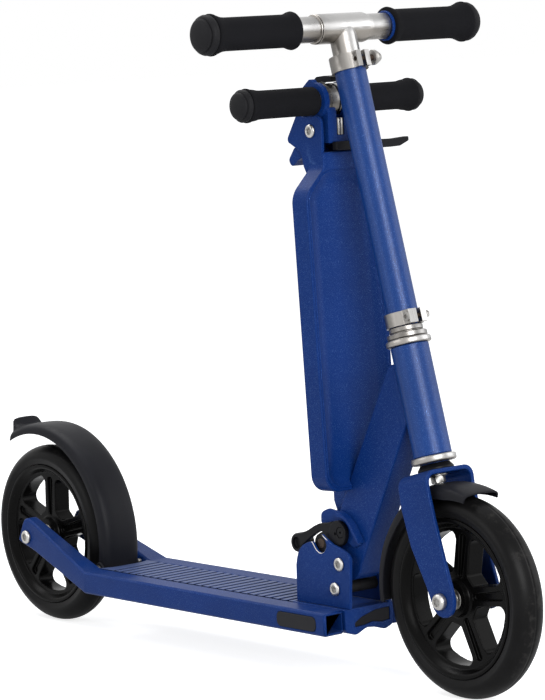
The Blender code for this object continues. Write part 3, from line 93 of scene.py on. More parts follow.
STEER = frame_along(joint_place("steering_turn"), JOINTS["steering_turn"]["axis"])
FRONT_AXLE = joint_place("front_wheel_spin")
REAR_AXLE = joint_place("rear_wheel_spin")
FOLD = joint_place("neck_fold")
CAM = joint_place("latch_open")
TILT = joint_place("lower_bar_tilt")
LEVER = joint_place("tension_lever_swing")
NOTCH = (157.5, 137.2)


# Sizes and colours that a user would change
def length(name, description, millimetres):
    return bpy.props.FloatProperty(
        name=name, description=description, default=millimetres * MM, min=0.0, precision=4, unit="LENGTH"
    )


def colour(name, description, rgb):
    return bpy.props.FloatVectorProperty(
        name=name, description=description, default=rgb, size=3, min=0.0, max=1.0, subtype="COLOR"
    )


def number(name, description, default, low, high):
    return bpy.props.FloatProperty(name=name, description=description, default=default, min=low, max=high)


class ScooterSizes(bpy.types.PropertyGroup):
    """Sizes of the modelled pieces"""

    wheel_radius: length("Wheel Radius", "Outer radius of both tyres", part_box("front_tyre")[1].z / MM / 2.0)
    tyre_half_width: length("Tyre Half Width", "Half the width of a tyre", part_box("front_tyre")[1].y / MM)
    tyre_wall: length("Tyre Wall", "Radial height of the tyre above the rim", 21.0)
    web_half_width: length("Web Half Width", "Half the thickness of the spoked web", 10.0)
    spoke_width: length("Spoke Width", "Width of one spoke", 20.0)
    tube_radius: length("Tube Radius", "Radius of the long steering tube", 15.7)
    stem_radius: length("Stem Radius", "Radius of the sliding stem", 13.7)
    head_tube_radius: length("Head Tube Radius", "Radius of the head tube", 19.0)
    bar_radius: length("Bar Radius", "Radius of the upper handlebar", 13.0)
    grip_radius: length("Grip Radius", "Radius of an upper grip at its waist", 16.3)
    lower_bar_radius: length("Lower Bar Radius", "Radius of the lower handlebar", 12.5)
    lower_grip_radius: length("Lower Grip Radius", "Radius of a lower grip at its waist", 14.2)
    bolt_radius: length("Bolt Head Radius", "Radius of the bracket bolt heads", 6.8)
    edge_round: length("Edge Rounding", "Rounding of the painted plate edges", 0.7)


class ScooterColours(bpy.types.PropertyGroup):
    """Colours of the finishes"""

    paint: colour("Paint", "Powder coat on frame, fork and tubes", (0.002, 0.025, 0.148))
    paint_light: colour("Paint Speckle", "Lighter grains in the powder coat", (0.1, 0.2, 0.47))
    alloy: colour("Alloy", "Satin bare aluminium", (0.55, 0.545, 0.54))
    zinc: colour("Zinc", "Plated bolts and axles", (0.6, 0.585, 0.56))
    oiled_steel: colour("Oiled Steel", "Latch pin and hidden shanks", (0.07, 0.052, 0.042))
    tyre: colour("Tyre", "Polyurethane tyres", (0.0048, 0.0047, 0.0049))
    rim: colour("Rim", "Moulded wheel rims", (0.0022, 0.0021, 0.0021))
    plastic: colour("Plastic", "Moulded fenders, levers and plugs", (0.0066, 0.0068, 0.0092))
    foam: colour("Foam", "Foam grips and end caps", (0.0085, 0.0085, 0.0098))
    floor: colour("Floor", "Studio floor", (0.88, 0.88, 0.88))
    light_level: number("Light Level", "Strength of all lamps together", 1.0, 0.0, 4.0)


# Small tools for modelling as by hand
def to_object_mode():
    if bpy.context.object and bpy.context.object.mode != "OBJECT":
        bpy.ops.object.mode_set(mode="OBJECT")


def select_only(*objects):
    to_object_mode()
    bpy.ops.object.select_all(action="DESELECT")
    for obj in objects:
        obj.select_set(True)
    bpy.context.view_layer.objects.active = objects[0]
    return objects[0]


def edit(obj, action="SELECT"):
    select_only(obj)
    bpy.ops.object.mode_set(mode="EDIT")
    bpy.ops.mesh.select_all(action=action)


def close_up():
    """Merges what lies together, turns all faces outwards and leaves edit mode."""
    bpy.ops.mesh.select_mode(type="VERT")
    bpy.ops.mesh.select_all(action="SELECT")
    bpy.ops.mesh.remove_doubles(threshold=MERGE)
    bpy.ops.mesh.normals_make_consistent(inside=False)
    bpy.ops.object.mode_set(mode="OBJECT")


def draw_line(name, points, frame):
    """A chain of edges through the points, extruded from one corner, left in edit mode."""
    spots = [frame @ (Vector(point) * MM) for point in points]
    to_object_mode()
    bpy.ops.object.select_all(action="DESELECT")
    bpy.ops.mesh.primitive_plane_add(size=MM, location=spots[0])
    obj = bpy.context.object
    obj.name = name
    bpy.ops.object.transform_apply()
    bpy.ops.object.mode_set(mode="EDIT")
    bpy.ops.mesh.select_all(action="SELECT")
    bpy.ops.mesh.merge(type="CENTER")
    for before, after in zip(spots, spots[1:]):
        bpy.ops.mesh.extrude_region_move(TRANSFORM_OT_translate={"value": after - before})
    return obj


def turned(name, profile, frame, steps=64, closed=False):
    """A lathe piece: (radius, height) points spun about the frame's Z axis."""
    points = [(radius, 0.0, height) for radius, height in profile]
    if closed:
        points.append(points[0])
    obj = draw_line(name, points, frame)
    bpy.ops.mesh.select_all(action="SELECT")
    axis = frame.to_3x3() @ Vector((0.0, 0.0, 1.0))
    bpy.ops.mesh.spin(steps=steps, angle=2.0 * math.pi, center=frame.translation, axis=axis)
    close_up()
    return obj


def plate(name, outline, low, high, plane="XZ", frame=WORLD):
    """A flat piece: an outline filled with one face and extruded from low to high."""
    ways = {
        "XZ": (lambda a, b: (a, low, b), Vector((0.0, 1.0, 0.0))),
        "XY": (lambda a, b: (a, b, low), Vector((0.0, 0.0, 1.0))),
        "YZ": (lambda a, b: (low, a, b), Vector((1.0, 0.0, 0.0))),
    }
    spot, push = ways[plane]
    obj = draw_line(name, [spot(a, b) for a, b in outline], frame)
    bpy.ops.mesh.select_all(action="SELECT")
    bpy.ops.mesh.edge_face_add()
    step = frame.to_3x3() @ push * (high - low) * MM
    bpy.ops.mesh.extrude_region_move(TRANSFORM_OT_translate={"value": step})
    close_up()
    return obj


def rod(name, start, end, radius, frame=WORLD, sides=48):
    """A straight bar between two points, with flat ends."""
    a = frame @ (Vector(start) * MM)
    b = frame @ (Vector(end) * MM)
    to_object_mode()
    bpy.ops.object.select_all(action="DESELECT")
    bpy.ops.mesh.primitive_cylinder_add(
        vertices=sides, radius=radius * MM, depth=(b - a).length, location=(a + b) / 2.0,
        rotation=(b - a).to_track_quat("Z", "Y").to_euler(),
    )
    obj = bpy.context.object
    obj.name = name
    bpy.ops.object.transform_apply()
    return obj


def drill(x, z, low, high, radius, sides=48):
    """A round cutter along Y through that point, from low to high."""
    return rod("drill", (x, low, z), (x, high, z), radius, WORLD, sides)


def block(low, high):
    """A box between two corners, to cut with."""
    outline = [(low[0], low[2]), (high[0], low[2]), (high[0], high[2]), (low[0], high[2])]
    return plate("block", outline, low[1], high[1])


def pick_faces(obj, test):
    """Edit mode with only those faces selected whose centre and normal pass the test."""
    edit(obj, "DESELECT")
    bpy.ops.mesh.select_mode(type="FACE")
    bpy.ops.object.mode_set(mode="OBJECT")
    for polygon in obj.data.polygons:
        polygon.select = test(polygon.center, polygon.normal)
    bpy.ops.object.mode_set(mode="EDIT")


def apply_modifier(obj, kind, **settings):
    select_only(obj)
    bpy.ops.object.modifier_add(type=kind)
    modifier = obj.modifiers[-1]
    for key, value in settings.items():
        setattr(modifier, key, value)
    bpy.ops.object.modifier_apply(modifier=modifier.name)
    return obj


def widths(obj):
    """The sum of the mesh's three widths, 0 when it is empty."""
    spots = [vertex.co for vertex in obj.data.vertices]
    if not spots:
        return 0.0
    return sum(max(spot[i] for spot in spots) - min(spot[i] for spot in spots) for i in range(3))


def combine(obj, operation, *others):
    """Joins or cuts with other closed pieces, and stops where the piece is lost by it."""
    for other in others:
        before = widths(obj)
        apply_modifier(obj, "BOOLEAN", operation=operation, solver="EXACT", object=other)
        bpy.data.objects.remove(other, do_unlink=True)
        after = widths(obj)
        shrunk = operation == "UNION" and after < before - 0.1 * MM
        if after == 0.0 or shrunk:
            raise RuntimeError(f"{obj.name} lost its shape in a {operation.lower()}")
    return obj


def cut(obj, *others):
    return combine(obj, "DIFFERENCE", *others)


def fuse(obj, *others):
    return combine(obj, "UNION", *others)


def common(obj, *others):
    return combine(obj, "INTERSECT", *others)


def join(obj, *others):
    """Puts separate closed shells into one object."""
    select_only(obj, *others)
    bpy.ops.object.join()
    return obj


def round_edges(obj, width, segments=3, angle=35.0):
    """Rounds every edge sharper than the angle, by a width in millimetres."""
    return apply_modifier(
        obj, "BEVEL", width=width * MM, segments=segments, limit_method="ANGLE",
        angle_limit=math.radians(angle), miter_outer="MITER_ARC", use_clamp_overlap=True,
    )


def dressed(name, node, width, segments=3, angle=38.0):
    """A copy of a CAD node with its flats made whole again and its edges rounded."""
    select_only(FRAME["nodes"][node])
    bpy.ops.object.duplicate()
    obj = bpy.context.object
    obj.name = name
    obj.data.name = name
    for key in list(obj.keys()):
        if key.startswith("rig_"):
            del obj[key]
    obj.parent = None
    edit(obj)
    bpy.ops.mesh.customdata_custom_splitnormals_clear()
    bpy.ops.mesh.remove_doubles(threshold=MERGE)
    bpy.ops.mesh.dissolve_limited(angle_limit=math.radians(0.4))
    bpy.ops.object.mode_set(mode="OBJECT")
    return round_edges(obj, width, segments, angle)


def finish_piece(obj, body, material, nodes=(), smooth=35.0, weighted=False):
    """Smooths, colours and hands a finished piece to its body."""
    select_only(obj)
    bpy.ops.object.shade_smooth_by_angle(angle=math.radians(smooth))
    if weighted:
        apply_modifier(obj, "WEIGHTED_NORMAL", keep_sharp=True, weight=60)
    obj.data.materials.clear()
    obj.data.materials.append(material)
    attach(obj, body)
    if nodes:
        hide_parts(*nodes)
    return obj


def second_finish(obj, material, frame, radius, low, high):
    """Another material for the faces that lie within a radius of the frame's Z axis, from low to high."""
    obj.data.materials.append(material)
    inverse = frame.inverted()
    for polygon in obj.data.polygons:
        spot = inverse @ polygon.center / MM
        if low < spot.z < high and math.hypot(spot.x, spot.y) < radius:
            polygon.material_index = 1


# Outline helpers
ARC_STEPS = 20


def arc(cx, cz, radius, start, end):
    points = []
    for i in range(ARC_STEPS + 1):
        a = math.radians(start + (end - start) * i / ARC_STEPS)
        points.append((cx + radius * math.cos(a), cz + radius * math.sin(a)))
    return points


def rounded(corners, steps=6):
    """An outline from (x, z, radius) corners, each turned into an arc."""
    points = []
    total = len(corners)
    for i, (x, z, radius) in enumerate(corners):
        here = Vector((x, z))
        to_before = (Vector(corners[i - 1][:2]) - here).normalized()
        to_after = (Vector(corners[(i + 1) % total][:2]) - here).normalized()
        if radius <= 0.0:
            points.append((x, z))
            continue
        half = to_before.angle(to_after) / 2.0
        reach = radius / math.tan(half)
        middle = here + (to_before + to_after).normalized() * (radius / math.sin(half))
        first = here + to_before * reach - middle
        sweep = first.angle_signed(here + to_after * reach - middle)
        for k in range(steps + 1):
            spot = middle + Matrix.Rotation(-sweep * k / steps, 2) @ first
            points.append((spot.x, spot.y))
    return points


def mirrored(profile):
    """A profile's half, and the same half again below the middle."""
    return profile + [(radius, -height) for radius, height in profile[::-1]]


def turn_points(points, degrees):
    c = math.cos(math.radians(degrees))
    s = math.sin(math.radians(degrees))
    return [(x * c - z * s, x * s + z * c) for x, z in points]


def between(table, u):
    """A value read off a short table of (place, value) pairs."""
    for (u0, a), (u1, b) in zip(table, table[1:]):
        if u <= u1:
            return a + (b - a) * (u - u0) / (u1 - u0)
    return table[-1][1]


# Shader nodes
class Tree:
    """A node tree with short calls to add nodes and join them."""

    def __init__(self, tree):
        self.tree = tree

    def add(self, kind, place, **settings):
        node = self.tree.nodes.new(kind)
        node.location = place
        for key, value in settings.items():
            setattr(node, key, value)
        return node

    def join(self, source, target):
        self.tree.links.new(source, target)

    def math(self, operation, a, b, place, clamp=False):
        node = self.add("ShaderNodeMath", place, operation=operation, use_clamp=clamp)
        for socket, value in zip(node.inputs, (a, b)):
            if isinstance(value, (int, float)):
                socket.default_value = value
            elif value is not None:
                self.join(value, socket)
        return node.outputs[0]

    def noise(self, vector, scale, place, detail=3.0, roughness=0.55):
        node = self.add("ShaderNodeTexNoise", place)
        node.inputs["Detail"].default_value = detail
        node.inputs["Roughness"].default_value = roughness
        if isinstance(scale, (int, float)):
            node.inputs["Scale"].default_value = scale
        else:
            self.join(scale, node.inputs["Scale"])
        self.join(vector, node.inputs["Vector"])
        return node.outputs["Fac"]

    def ramp(self, value, low, high, place, out_low=0.0, out_high=1.0):
        node = self.add("ShaderNodeMapRange", place, interpolation_type="SMOOTHSTEP")
        node.inputs["From Min"].default_value = low
        node.inputs["From Max"].default_value = high
        node.inputs["To Min"].default_value = out_low
        node.inputs["To Max"].default_value = out_high
        self.join(value, node.inputs["Value"])
        return node.outputs["Result"]

    def mix(self, factor, a, b, place):
        node = self.add("ShaderNodeMix", place, data_type="RGBA")
        self.join(factor, node.inputs["Factor"])
        for socket, value in ((node.inputs["A"], a), (node.inputs["B"], b)):
            if isinstance(value, bpy.types.NodeSocket):
                self.join(value, socket)
            else:
                socket.default_value = (value[0], value[1], value[2], 1.0)
        return node.outputs["Result"]


def new_group(name, inputs, outputs):
    """A shader group with named sockets; returns the group, its tools and its two end nodes."""
    group = bpy.data.node_groups.new(name, "ShaderNodeTree")
    for label, kind, default in inputs:
        socket = group.interface.new_socket(label, in_out="INPUT", socket_type="NodeSocket" + kind)
        if kind != "Vector":
            socket.default_value = default
    for label, kind in outputs:
        group.interface.new_socket(label, in_out="OUTPUT", socket_type="NodeSocket" + kind)
    tree = Tree(group)
    start = tree.add("NodeGroupInput", (-1000, 0))
    end = tree.add("NodeGroupOutput", (600, 0))
    return group, tree, start.outputs, end.inputs


def powder_grain():
    """Powder coat: fine lighter grains, broad shade drift and the orange-peel height."""
    name = "Powder Grain"
    if name in bpy.data.node_groups:
        return bpy.data.node_groups[name]
    group, tree, given, out = new_group(
        name,
        [
            ("Vector", "Vector", None), ("Colour", "Color", (0.02, 0.07, 0.27, 1.0)),
            ("Grain Colour", "Color", (0.05, 0.13, 0.4, 1.0)), ("Scale", "Float", 900.0),
            ("Amount", "Float", 0.5),
        ],
        [("Colour", "Color"), ("Height", "Float"), ("Flakes", "Float")],
    )
    fine = tree.noise(given["Vector"], given["Scale"], (-700, 200), 2.0, 0.7)
    grains = tree.math("MULTIPLY", tree.ramp(fine, 0.58, 0.7, (-500, 200)), given["Amount"], (-300, 200))
    speckled = tree.mix(grains, given["Colour"], given["Grain Colour"], (-100, 200))
    broad = tree.noise(given["Vector"], 9.0, (-700, -100), 2.0)
    shade = tree.ramp(broad, 0.3, 0.7, (-500, -100), 0.0, 0.16)
    tree.join(tree.mix(shade, speckled, (0.0, 0.0, 0.0), (200, 200)), out["Colour"])
    peel_scale = tree.math("MULTIPLY", given["Scale"], 0.4, (-850, -350))
    peel = tree.noise(given["Vector"], peel_scale, (-700, -350), 1.0, 0.4)
    height = tree.math("ADD", tree.math("MULTIPLY", fine, 0.35, (-300, -250)), peel, (-100, -300))
    tree.join(height, out["Height"])
    tree.join(grains, out["Flakes"])
    return group


def edge_wear_and_highlight():
    """A mask of thin, broken patches on convex edges, for worn edges and for painted edge highlights."""
    name = "Edge Wear"
    if name in bpy.data.node_groups:
        return bpy.data.node_groups[name]
    group, tree, given, out = new_group(
        name,
        [
            ("Vector", "Vector", None), ("Pointiness", "Float", 0.5), ("Start", "Float", 0.53),
            ("Amount", "Float", 0.5),
        ],
        [("Mask", "Float")],
    )
    stop = tree.math("ADD", given["Start"], 0.07, (-800, 200))
    edge = tree.add("ShaderNodeMapRange", (-600, 200), interpolation_type="SMOOTHSTEP")
    tree.join(given["Pointiness"], edge.inputs["Value"])
    tree.join(given["Start"], edge.inputs["From Min"])
    tree.join(stop, edge.inputs["From Max"])
    broken = tree.ramp(tree.noise(given["Vector"], 160.0, (-800, -100), 4.0), 0.42, 0.62, (-600, -100))
    both = tree.math("MULTIPLY", edge.outputs["Result"], broken, (-300, 0))
    tree.join(tree.math("MULTIPLY", both, given["Amount"], (-100, 0), True), out["Mask"])
    return group


def settled_dust():
    """A mask of faint dust on faces that look up, patchy."""
    name = "Settled Dust"
    if name in bpy.data.node_groups:
        return bpy.data.node_groups[name]
    group, tree, given, out = new_group(
        name,
        [("Vector", "Vector", None), ("Normal", "Vector", None), ("Amount", "Float", 0.15)],
        [("Mask", "Float")],
    )
    split = tree.add("ShaderNodeSeparateXYZ", (-800, 100))
    tree.join(given["Normal"], split.inputs[0])
    upward = tree.ramp(split.outputs["Z"], 0.35, 1.0, (-600, 100))
    patches = tree.ramp(tree.noise(given["Vector"], 34.0, (-800, -150), 5.0, 0.65), 0.35, 0.75, (-600, -150))
    both = tree.math("MULTIPLY", upward, patches, (-300, 0))
    tree.join(tree.math("MULTIPLY", both, given["Amount"], (-100, 0), True), out["Mask"])
    return group


def moulded_grain():
    """The small pits and soft waves of moulded plastic, rubber and foam."""
    name = "Moulded Grain"
    if name in bpy.data.node_groups:
        return bpy.data.node_groups[name]
    group, tree, given, out = new_group(
        name,
        [("Vector", "Vector", None), ("Scale", "Float", 700.0), ("Pits", "Float", 0.5)],
        [("Height", "Float"), ("Value", "Float")],
    )
    fine = tree.noise(given["Vector"], given["Scale"], (-800, 200), 3.0, 0.6)
    cells = tree.add("ShaderNodeTexVoronoi", (-800, -100), feature="SMOOTH_F1")
    cells.inputs["Smoothness"].default_value = 0.6
    tree.join(given["Vector"], cells.inputs["Vector"])
    tree.join(tree.math("MULTIPLY", given["Scale"], 1.4, (-950, -100)), cells.inputs["Scale"])
    pits = tree.math("MULTIPLY", cells.outputs["Distance"], given["Pits"], (-600, -100))
    tree.join(tree.math("ADD", fine, pits, (-300, 100)), out["Height"])
    tree.join(tree.noise(given["Vector"], 26.0, (-800, -350), 4.0), out["Value"])
    return group


def drawn_lines():
    """Fine parallel lines of drawn or brushed metal; the vector is squeezed along the lines."""
    name = "Drawn Lines"
    if name in bpy.data.node_groups:
        return bpy.data.node_groups[name]
    group, tree, given, out = new_group(
        name, [("Vector", "Vector", None), ("Contrast", "Float", 1.0)],
        [("Height", "Float"), ("Value", "Float")],
    )
    lines = tree.noise(given["Vector"], 1.0, (-800, 100), 4.0, 0.7)
    tree.join(tree.math("MULTIPLY", lines, given["Contrast"], (-500, 100)), out["Height"])
    tree.join(tree.ramp(lines, 0.3, 0.7, (-500, -100)), out["Value"])
    return group


def painted_edge_shade():
    """A mask of painted shade along inner corners and of a painted dark line on outer edges."""
    name = "Seam Dirt"
    if name in bpy.data.node_groups:
        return bpy.data.node_groups[name]
    group, tree, given, out = new_group(
        name, [("Vector", "Vector", None), ("Pointiness", "Float", 0.5), ("Amount", "Float", 0.6)],
        [("Mask", "Float")],
    )
    inner = tree.ramp(given["Pointiness"], 0.49, 0.45, (-800, 200))
    outer = tree.ramp(given["Pointiness"], 0.52, 0.575, (-800, -100), 0.0, 0.8)
    either = tree.math("MAXIMUM", inner, outer, (-550, 100))
    patchy = tree.ramp(
        tree.noise(given["Vector"], 120.0, (-800, -350), 3.0), 0.25, 0.55, (-600, -350), 0.55, 1.0
    )
    both = tree.math("MULTIPLY", either, patchy, (-350, 0))
    tree.join(tree.math("MULTIPLY", both, given["Amount"], (-100, 0), True), out["Mask"])
    return group


def use_group(tree, group, place, **values):
    """Places a group; each value is a socket to join or a constant. Names use _ for a blank."""
    node = tree.add("ShaderNodeGroup", place, node_tree=group)
    for label, value in values.items():
        socket = node.inputs[label.replace("_", " ")]
        if isinstance(value, bpy.types.NodeSocket):
            tree.join(value, socket)
        else:
            socket.default_value = value
    return node.outputs


def new_material(name):
    material = bpy.data.materials.new(name)
    material.use_nodes = True
    tree = Tree(material.node_tree)
    shader = material.node_tree.nodes["Principled BSDF"]
    shader.location = (500, 0)
    material.node_tree.nodes["Material Output"].location = (800, 0)
    spot = tree.add("ShaderNodeTexCoord", (-1500, 0)).outputs["Object"]
    return material, tree, shader, spot


def moved(tree, spot, place, location=(0.0, 0.0, 0.0), rotation=(0.0, 0.0, 0.0), scale=(1.0, 1.0, 1.0)):
    node = tree.add("ShaderNodeMapping", place)
    node.inputs["Location"].default_value = location
    node.inputs["Rotation"].default_value = rotation
    node.inputs["Scale"].default_value = scale
    tree.join(spot, node.inputs["Vector"])
    return node.outputs["Vector"]


def bump(tree, shader, height, strength, millimetres):
    node = tree.add("ShaderNodeBump", (250, -300))
    node.inputs["Strength"].default_value = strength
    node.inputs["Distance"].default_value = millimetres * MM
    tree.join(height, node.inputs["Height"])
    tree.join(node.outputs["Normal"], shader.inputs["Normal"])


def colours():
    return bpy.context.scene.scooter_colours


def sizes():
    return bpy.context.scene.scooter_sizes


def rgba(value):
    return (value[0], value[1], value[2], 1.0)


def grey(level):
    return (level, level, level)


def scaled(value, factor):
    return tuple(min(1.0, channel * factor) for channel in value)


def blue_paint(kind="plain"):
    """Satin blue powder coat with fine speckle, with a painted highlight on its convex edges.

    The kinds: plain, notched (the latch notch is worn to bare metal), tube (a glossier coat on the round
    tubes, with a lighter tone as painted light) and ribbed (painted shade in the grooves of the standing
    plate, painted sheen on the ridges).
    """
    name = f"blue_paint_{kind}"
    tube = kind == "tube"
    if name in bpy.data.materials:
        return bpy.data.materials[name]
    material, tree, shader, spot = new_material(name)
    shared = colours()
    red, green, blue = shared.paint
    # Tube kind: lighter green and blue and more light grains, a lighter copy of the paint as painted light on
    # the round tubes.
    grain = use_group(
        tree, powder_grain(), (-1200, 200), Vector=spot,
        Colour=rgba((red, green * 1.35, blue * 1.2) if tube else shared.paint),
        Grain_Colour=rgba(shared.paint_light), Scale=1700.0, Amount=1.0 if tube else 0.7,
    )
    geometry = tree.add("ShaderNodeNewGeometry", (-1500, -300))
    # Painted highlight: convex edges are mixed towards the lighter speckle colour, standing in for light
    # caught by the rounded edges.
    edge_highlight = use_group(
        tree, edge_wear_and_highlight(), (-1200, -150), Vector=spot, Pointiness=geometry.outputs["Pointiness"], Start=0.62,
        Amount=0.3,
    )
    dust = use_group(
        tree, settled_dust(), (-1200, -400), Vector=spot, Normal=geometry.outputs["Normal"], Amount=0.1
    )
    lightened = tree.mix(edge_highlight["Mask"], grain["Colour"], scaled(shared.paint_light, 0.8), (-700, 200))
    dust_and_painted_light = tree.mix(dust["Mask"], lightened, (0.2, 0.23, 0.3), (-450, 200))
    rough = tree.ramp(grain["Height"], 0.3, 0.9, (-700, -200), 0.3 if tube else 0.34, 0.4 if tube else 0.44)
    rough = tree.math(
        "ADD", rough, tree.math("MULTIPLY", dust["Mask"], 0.8, (-700, -450)), (-450, -200), True
    )
    metal = tree.math("MULTIPLY", grain["Flakes"], 0.95, (-700, 500))
    # Ribbed kind: painted shade darkens the grooves between the ribs, and a painted sheen lightens the rib
    # tops.
    if kind == "ribbed":
        height = tree.add("ShaderNodeSeparateXYZ", (-1200, -1150))
        tree.join(spot, height.inputs[0])
        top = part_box("deck_plate")[1].z
        ridge = tree.ramp(height.outputs["Z"], top - 0.0009, top - 0.0001, (-1000, -1150))
        dust_and_painted_light = tree.mix(ridge, scaled(shared.paint, 0.12), dust_and_painted_light, (-200, 350))
        rub_and_highlight = tree.math("MULTIPLY", ridge, 0.3, (-450, -1150))
        dust_and_painted_light = tree.mix(rub_and_highlight, dust_and_painted_light, (0.2, 0.24, 0.37), (0, 350))
    if kind == "notched":
        notch = moved(
            tree, spot, (-1200, -700), location=(-NOTCH[0] * MM, 0.0, -NOTCH[1] * MM),
            scale=(1.0, 0.0, 1.0),
        )
        reach = tree.add("ShaderNodeVectorMath", (-1000, -700), operation="LENGTH")
        tree.join(notch, reach.inputs[0])
        near = tree.ramp(reach.outputs["Value"], 0.0145, 0.012, (-800, -700))
        place = tree.add("ShaderNodeSeparateXYZ", (-1200, -1150))
        tree.join(spot, place.inputs[0])
        outside = tree.ramp(
            tree.math("ABSOLUTE", place.outputs["Y"], None, (-1000, -1150)), 0.0268, 0.0272, (-800, -1150)
        )
        near = tree.math("MULTIPLY", near, outside, (-650, -900))
        split = tree.add("ShaderNodeSeparateXYZ", (-1200, -950))
        tree.join(geometry.outputs["Normal"], split.inputs[0])
        side = tree.math("ABSOLUTE", split.outputs["Y"], None, (-1000, -950))
        bare = tree.math("MULTIPLY", near, tree.ramp(side, 0.985, 0.9, (-800, -950)), (-450, -800), True)
        dust_and_painted_light = tree.mix(bare, dust_and_painted_light, shared.zinc, (-200, 200))
        metal = tree.math("MAXIMUM", metal, bare, (-200, -500))
    tree.join(dust_and_painted_light, shader.inputs["Base Color"])
    tree.join(metal, shader.inputs["Metallic"])
    tree.join(rough, shader.inputs["Roughness"])
    shader.inputs["Specular IOR Level"].default_value = 0.27 if tube else 0.09
    bump(tree, shader, grain["Height"], 0.2, 0.12)
    return material


def bare_metal(name, tint, rotation, scale, roughness, lines=0.06, painted_shade=0.0):
    """Bare or plated metal: lines drawn one way, painted shade in inner corners with painted dark lines on
    outer edges, and a warm painted shade on faces that look down or to the scooter's right.
    """
    if name in bpy.data.materials:
        return bpy.data.materials[name]
    material, tree, shader, spot = new_material(name)
    squeezed = moved(tree, moved(tree, spot, (-1250, 0), rotation=rotation), (-1050, 0), scale=scale)
    drawn = use_group(tree, drawn_lines(), (-800, 0), Vector=squeezed, Contrast=1.0)
    smudge = tree.noise(spot, 42.0, (-1050, -300), 4.0, 0.6)
    dull = tree.ramp(smudge, 0.35, 0.7, (-800, -300))
    base = tree.mix(
        tree.math("MULTIPLY", drawn["Value"], 0.35, (-600, 200)), scaled(tint, 0.9), tint, (-400, 200)
    )
    base = tree.mix(tree.math("MULTIPLY", dull, 0.2, (-600, -300)), base, scaled(tint, 0.7), (-200, 200))
    # Painted shade: faces that look down or to the scooter's right are mixed to a darker, warmer tint.
    if painted_shade:
        facing = tree.add("ShaderNodeSeparateXYZ", (-1050, 400))
        tree.join(tree.add("ShaderNodeTexCoord", (-1250, 400)).outputs["Normal"], facing.inputs[0])
        under = tree.ramp(facing.outputs["Z"], 0.15, -0.25, (-800, 450), 0.0, painted_shade)
        shaded_right_side = tree.ramp(facing.outputs["Y"], 0.0, -0.75, (-800, 700), 0.0, painted_shade * 0.8)
        painted_shade_mask = tree.math("MAXIMUM", under, shaded_right_side, (-550, 500))
        base = tree.mix(painted_shade_mask, base, (tint[0] * 0.52, tint[1] * 0.47, tint[2] * 0.41), (0, 200))
    geometry = tree.add("ShaderNodeNewGeometry", (-1050, 900))
    # Painted shade: inner corners darkened, and a thin painted dark line along outer edges.
    edge_shade = use_group(
        tree, painted_edge_shade(), (-800, 950), Vector=spot, Pointiness=geometry.outputs["Pointiness"], Amount=0.75
    )
    base = tree.mix(edge_shade["Mask"], base, (tint[0] * 0.13, tint[1] * 0.12, tint[2] * 0.11), (200, 300))
    rough = tree.math(
        "ADD", tree.math("MULTIPLY", drawn["Value"], 0.08, (-600, -100)), roughness, (-400, -100)
    )
    rough = tree.math("ADD", rough, tree.math("MULTIPLY", dull, 0.1, (-400, -300)), (-200, -100), True)
    tree.join(base, shader.inputs["Base Color"])
    tree.join(rough, shader.inputs["Roughness"])
    shader.inputs["Metallic"].default_value = 1.0
    bump(tree, shader, drawn["Height"], lines, 0.1)
    return material


def alloy_across():
    """Polished aluminium drawn along Y, for both handlebars."""
    return bare_metal("alloy_across", colours().alloy, (0.0, 0.0, 0.0), (900.0, 14.0, 900.0), 0.24, painted_shade=0.8)


def alloy_up():
    """Polished aluminium drawn along the steering axis, for the stem and its clamps."""
    rake = STEER.to_euler().y
    return bare_metal("alloy_up", colours().alloy, (0.0, -rake, 0.0), (900.0, 900.0, 14.0), 0.26, painted_shade=0.7)


def cloudy_steel(name, tint, roughness):
    """Steel with an even cloudy grain in place of drawn lines."""
    return bare_metal(name, tint, (0.0, 0.0, 0.0), (260.0, 260.0, 260.0), roughness, lines=0.04)


def zinc_plate():
    """Zinc plated steel with a cloudy sheen."""
    return cloudy_steel("zinc_plate", colours().zinc, 0.3)


def recess_steel():
    """Darker, duller steel down in the sockets of the bolt heads, as painted shade."""
    return cloudy_steel("recess_steel", scaled(colours().zinc, 0.55), 0.5)


def dark_steel():
    """Oiled, nearly black steel of the latch pin and the hidden pivots."""
    return cloudy_steel("dark_steel", colours().oiled_steel, 0.42)


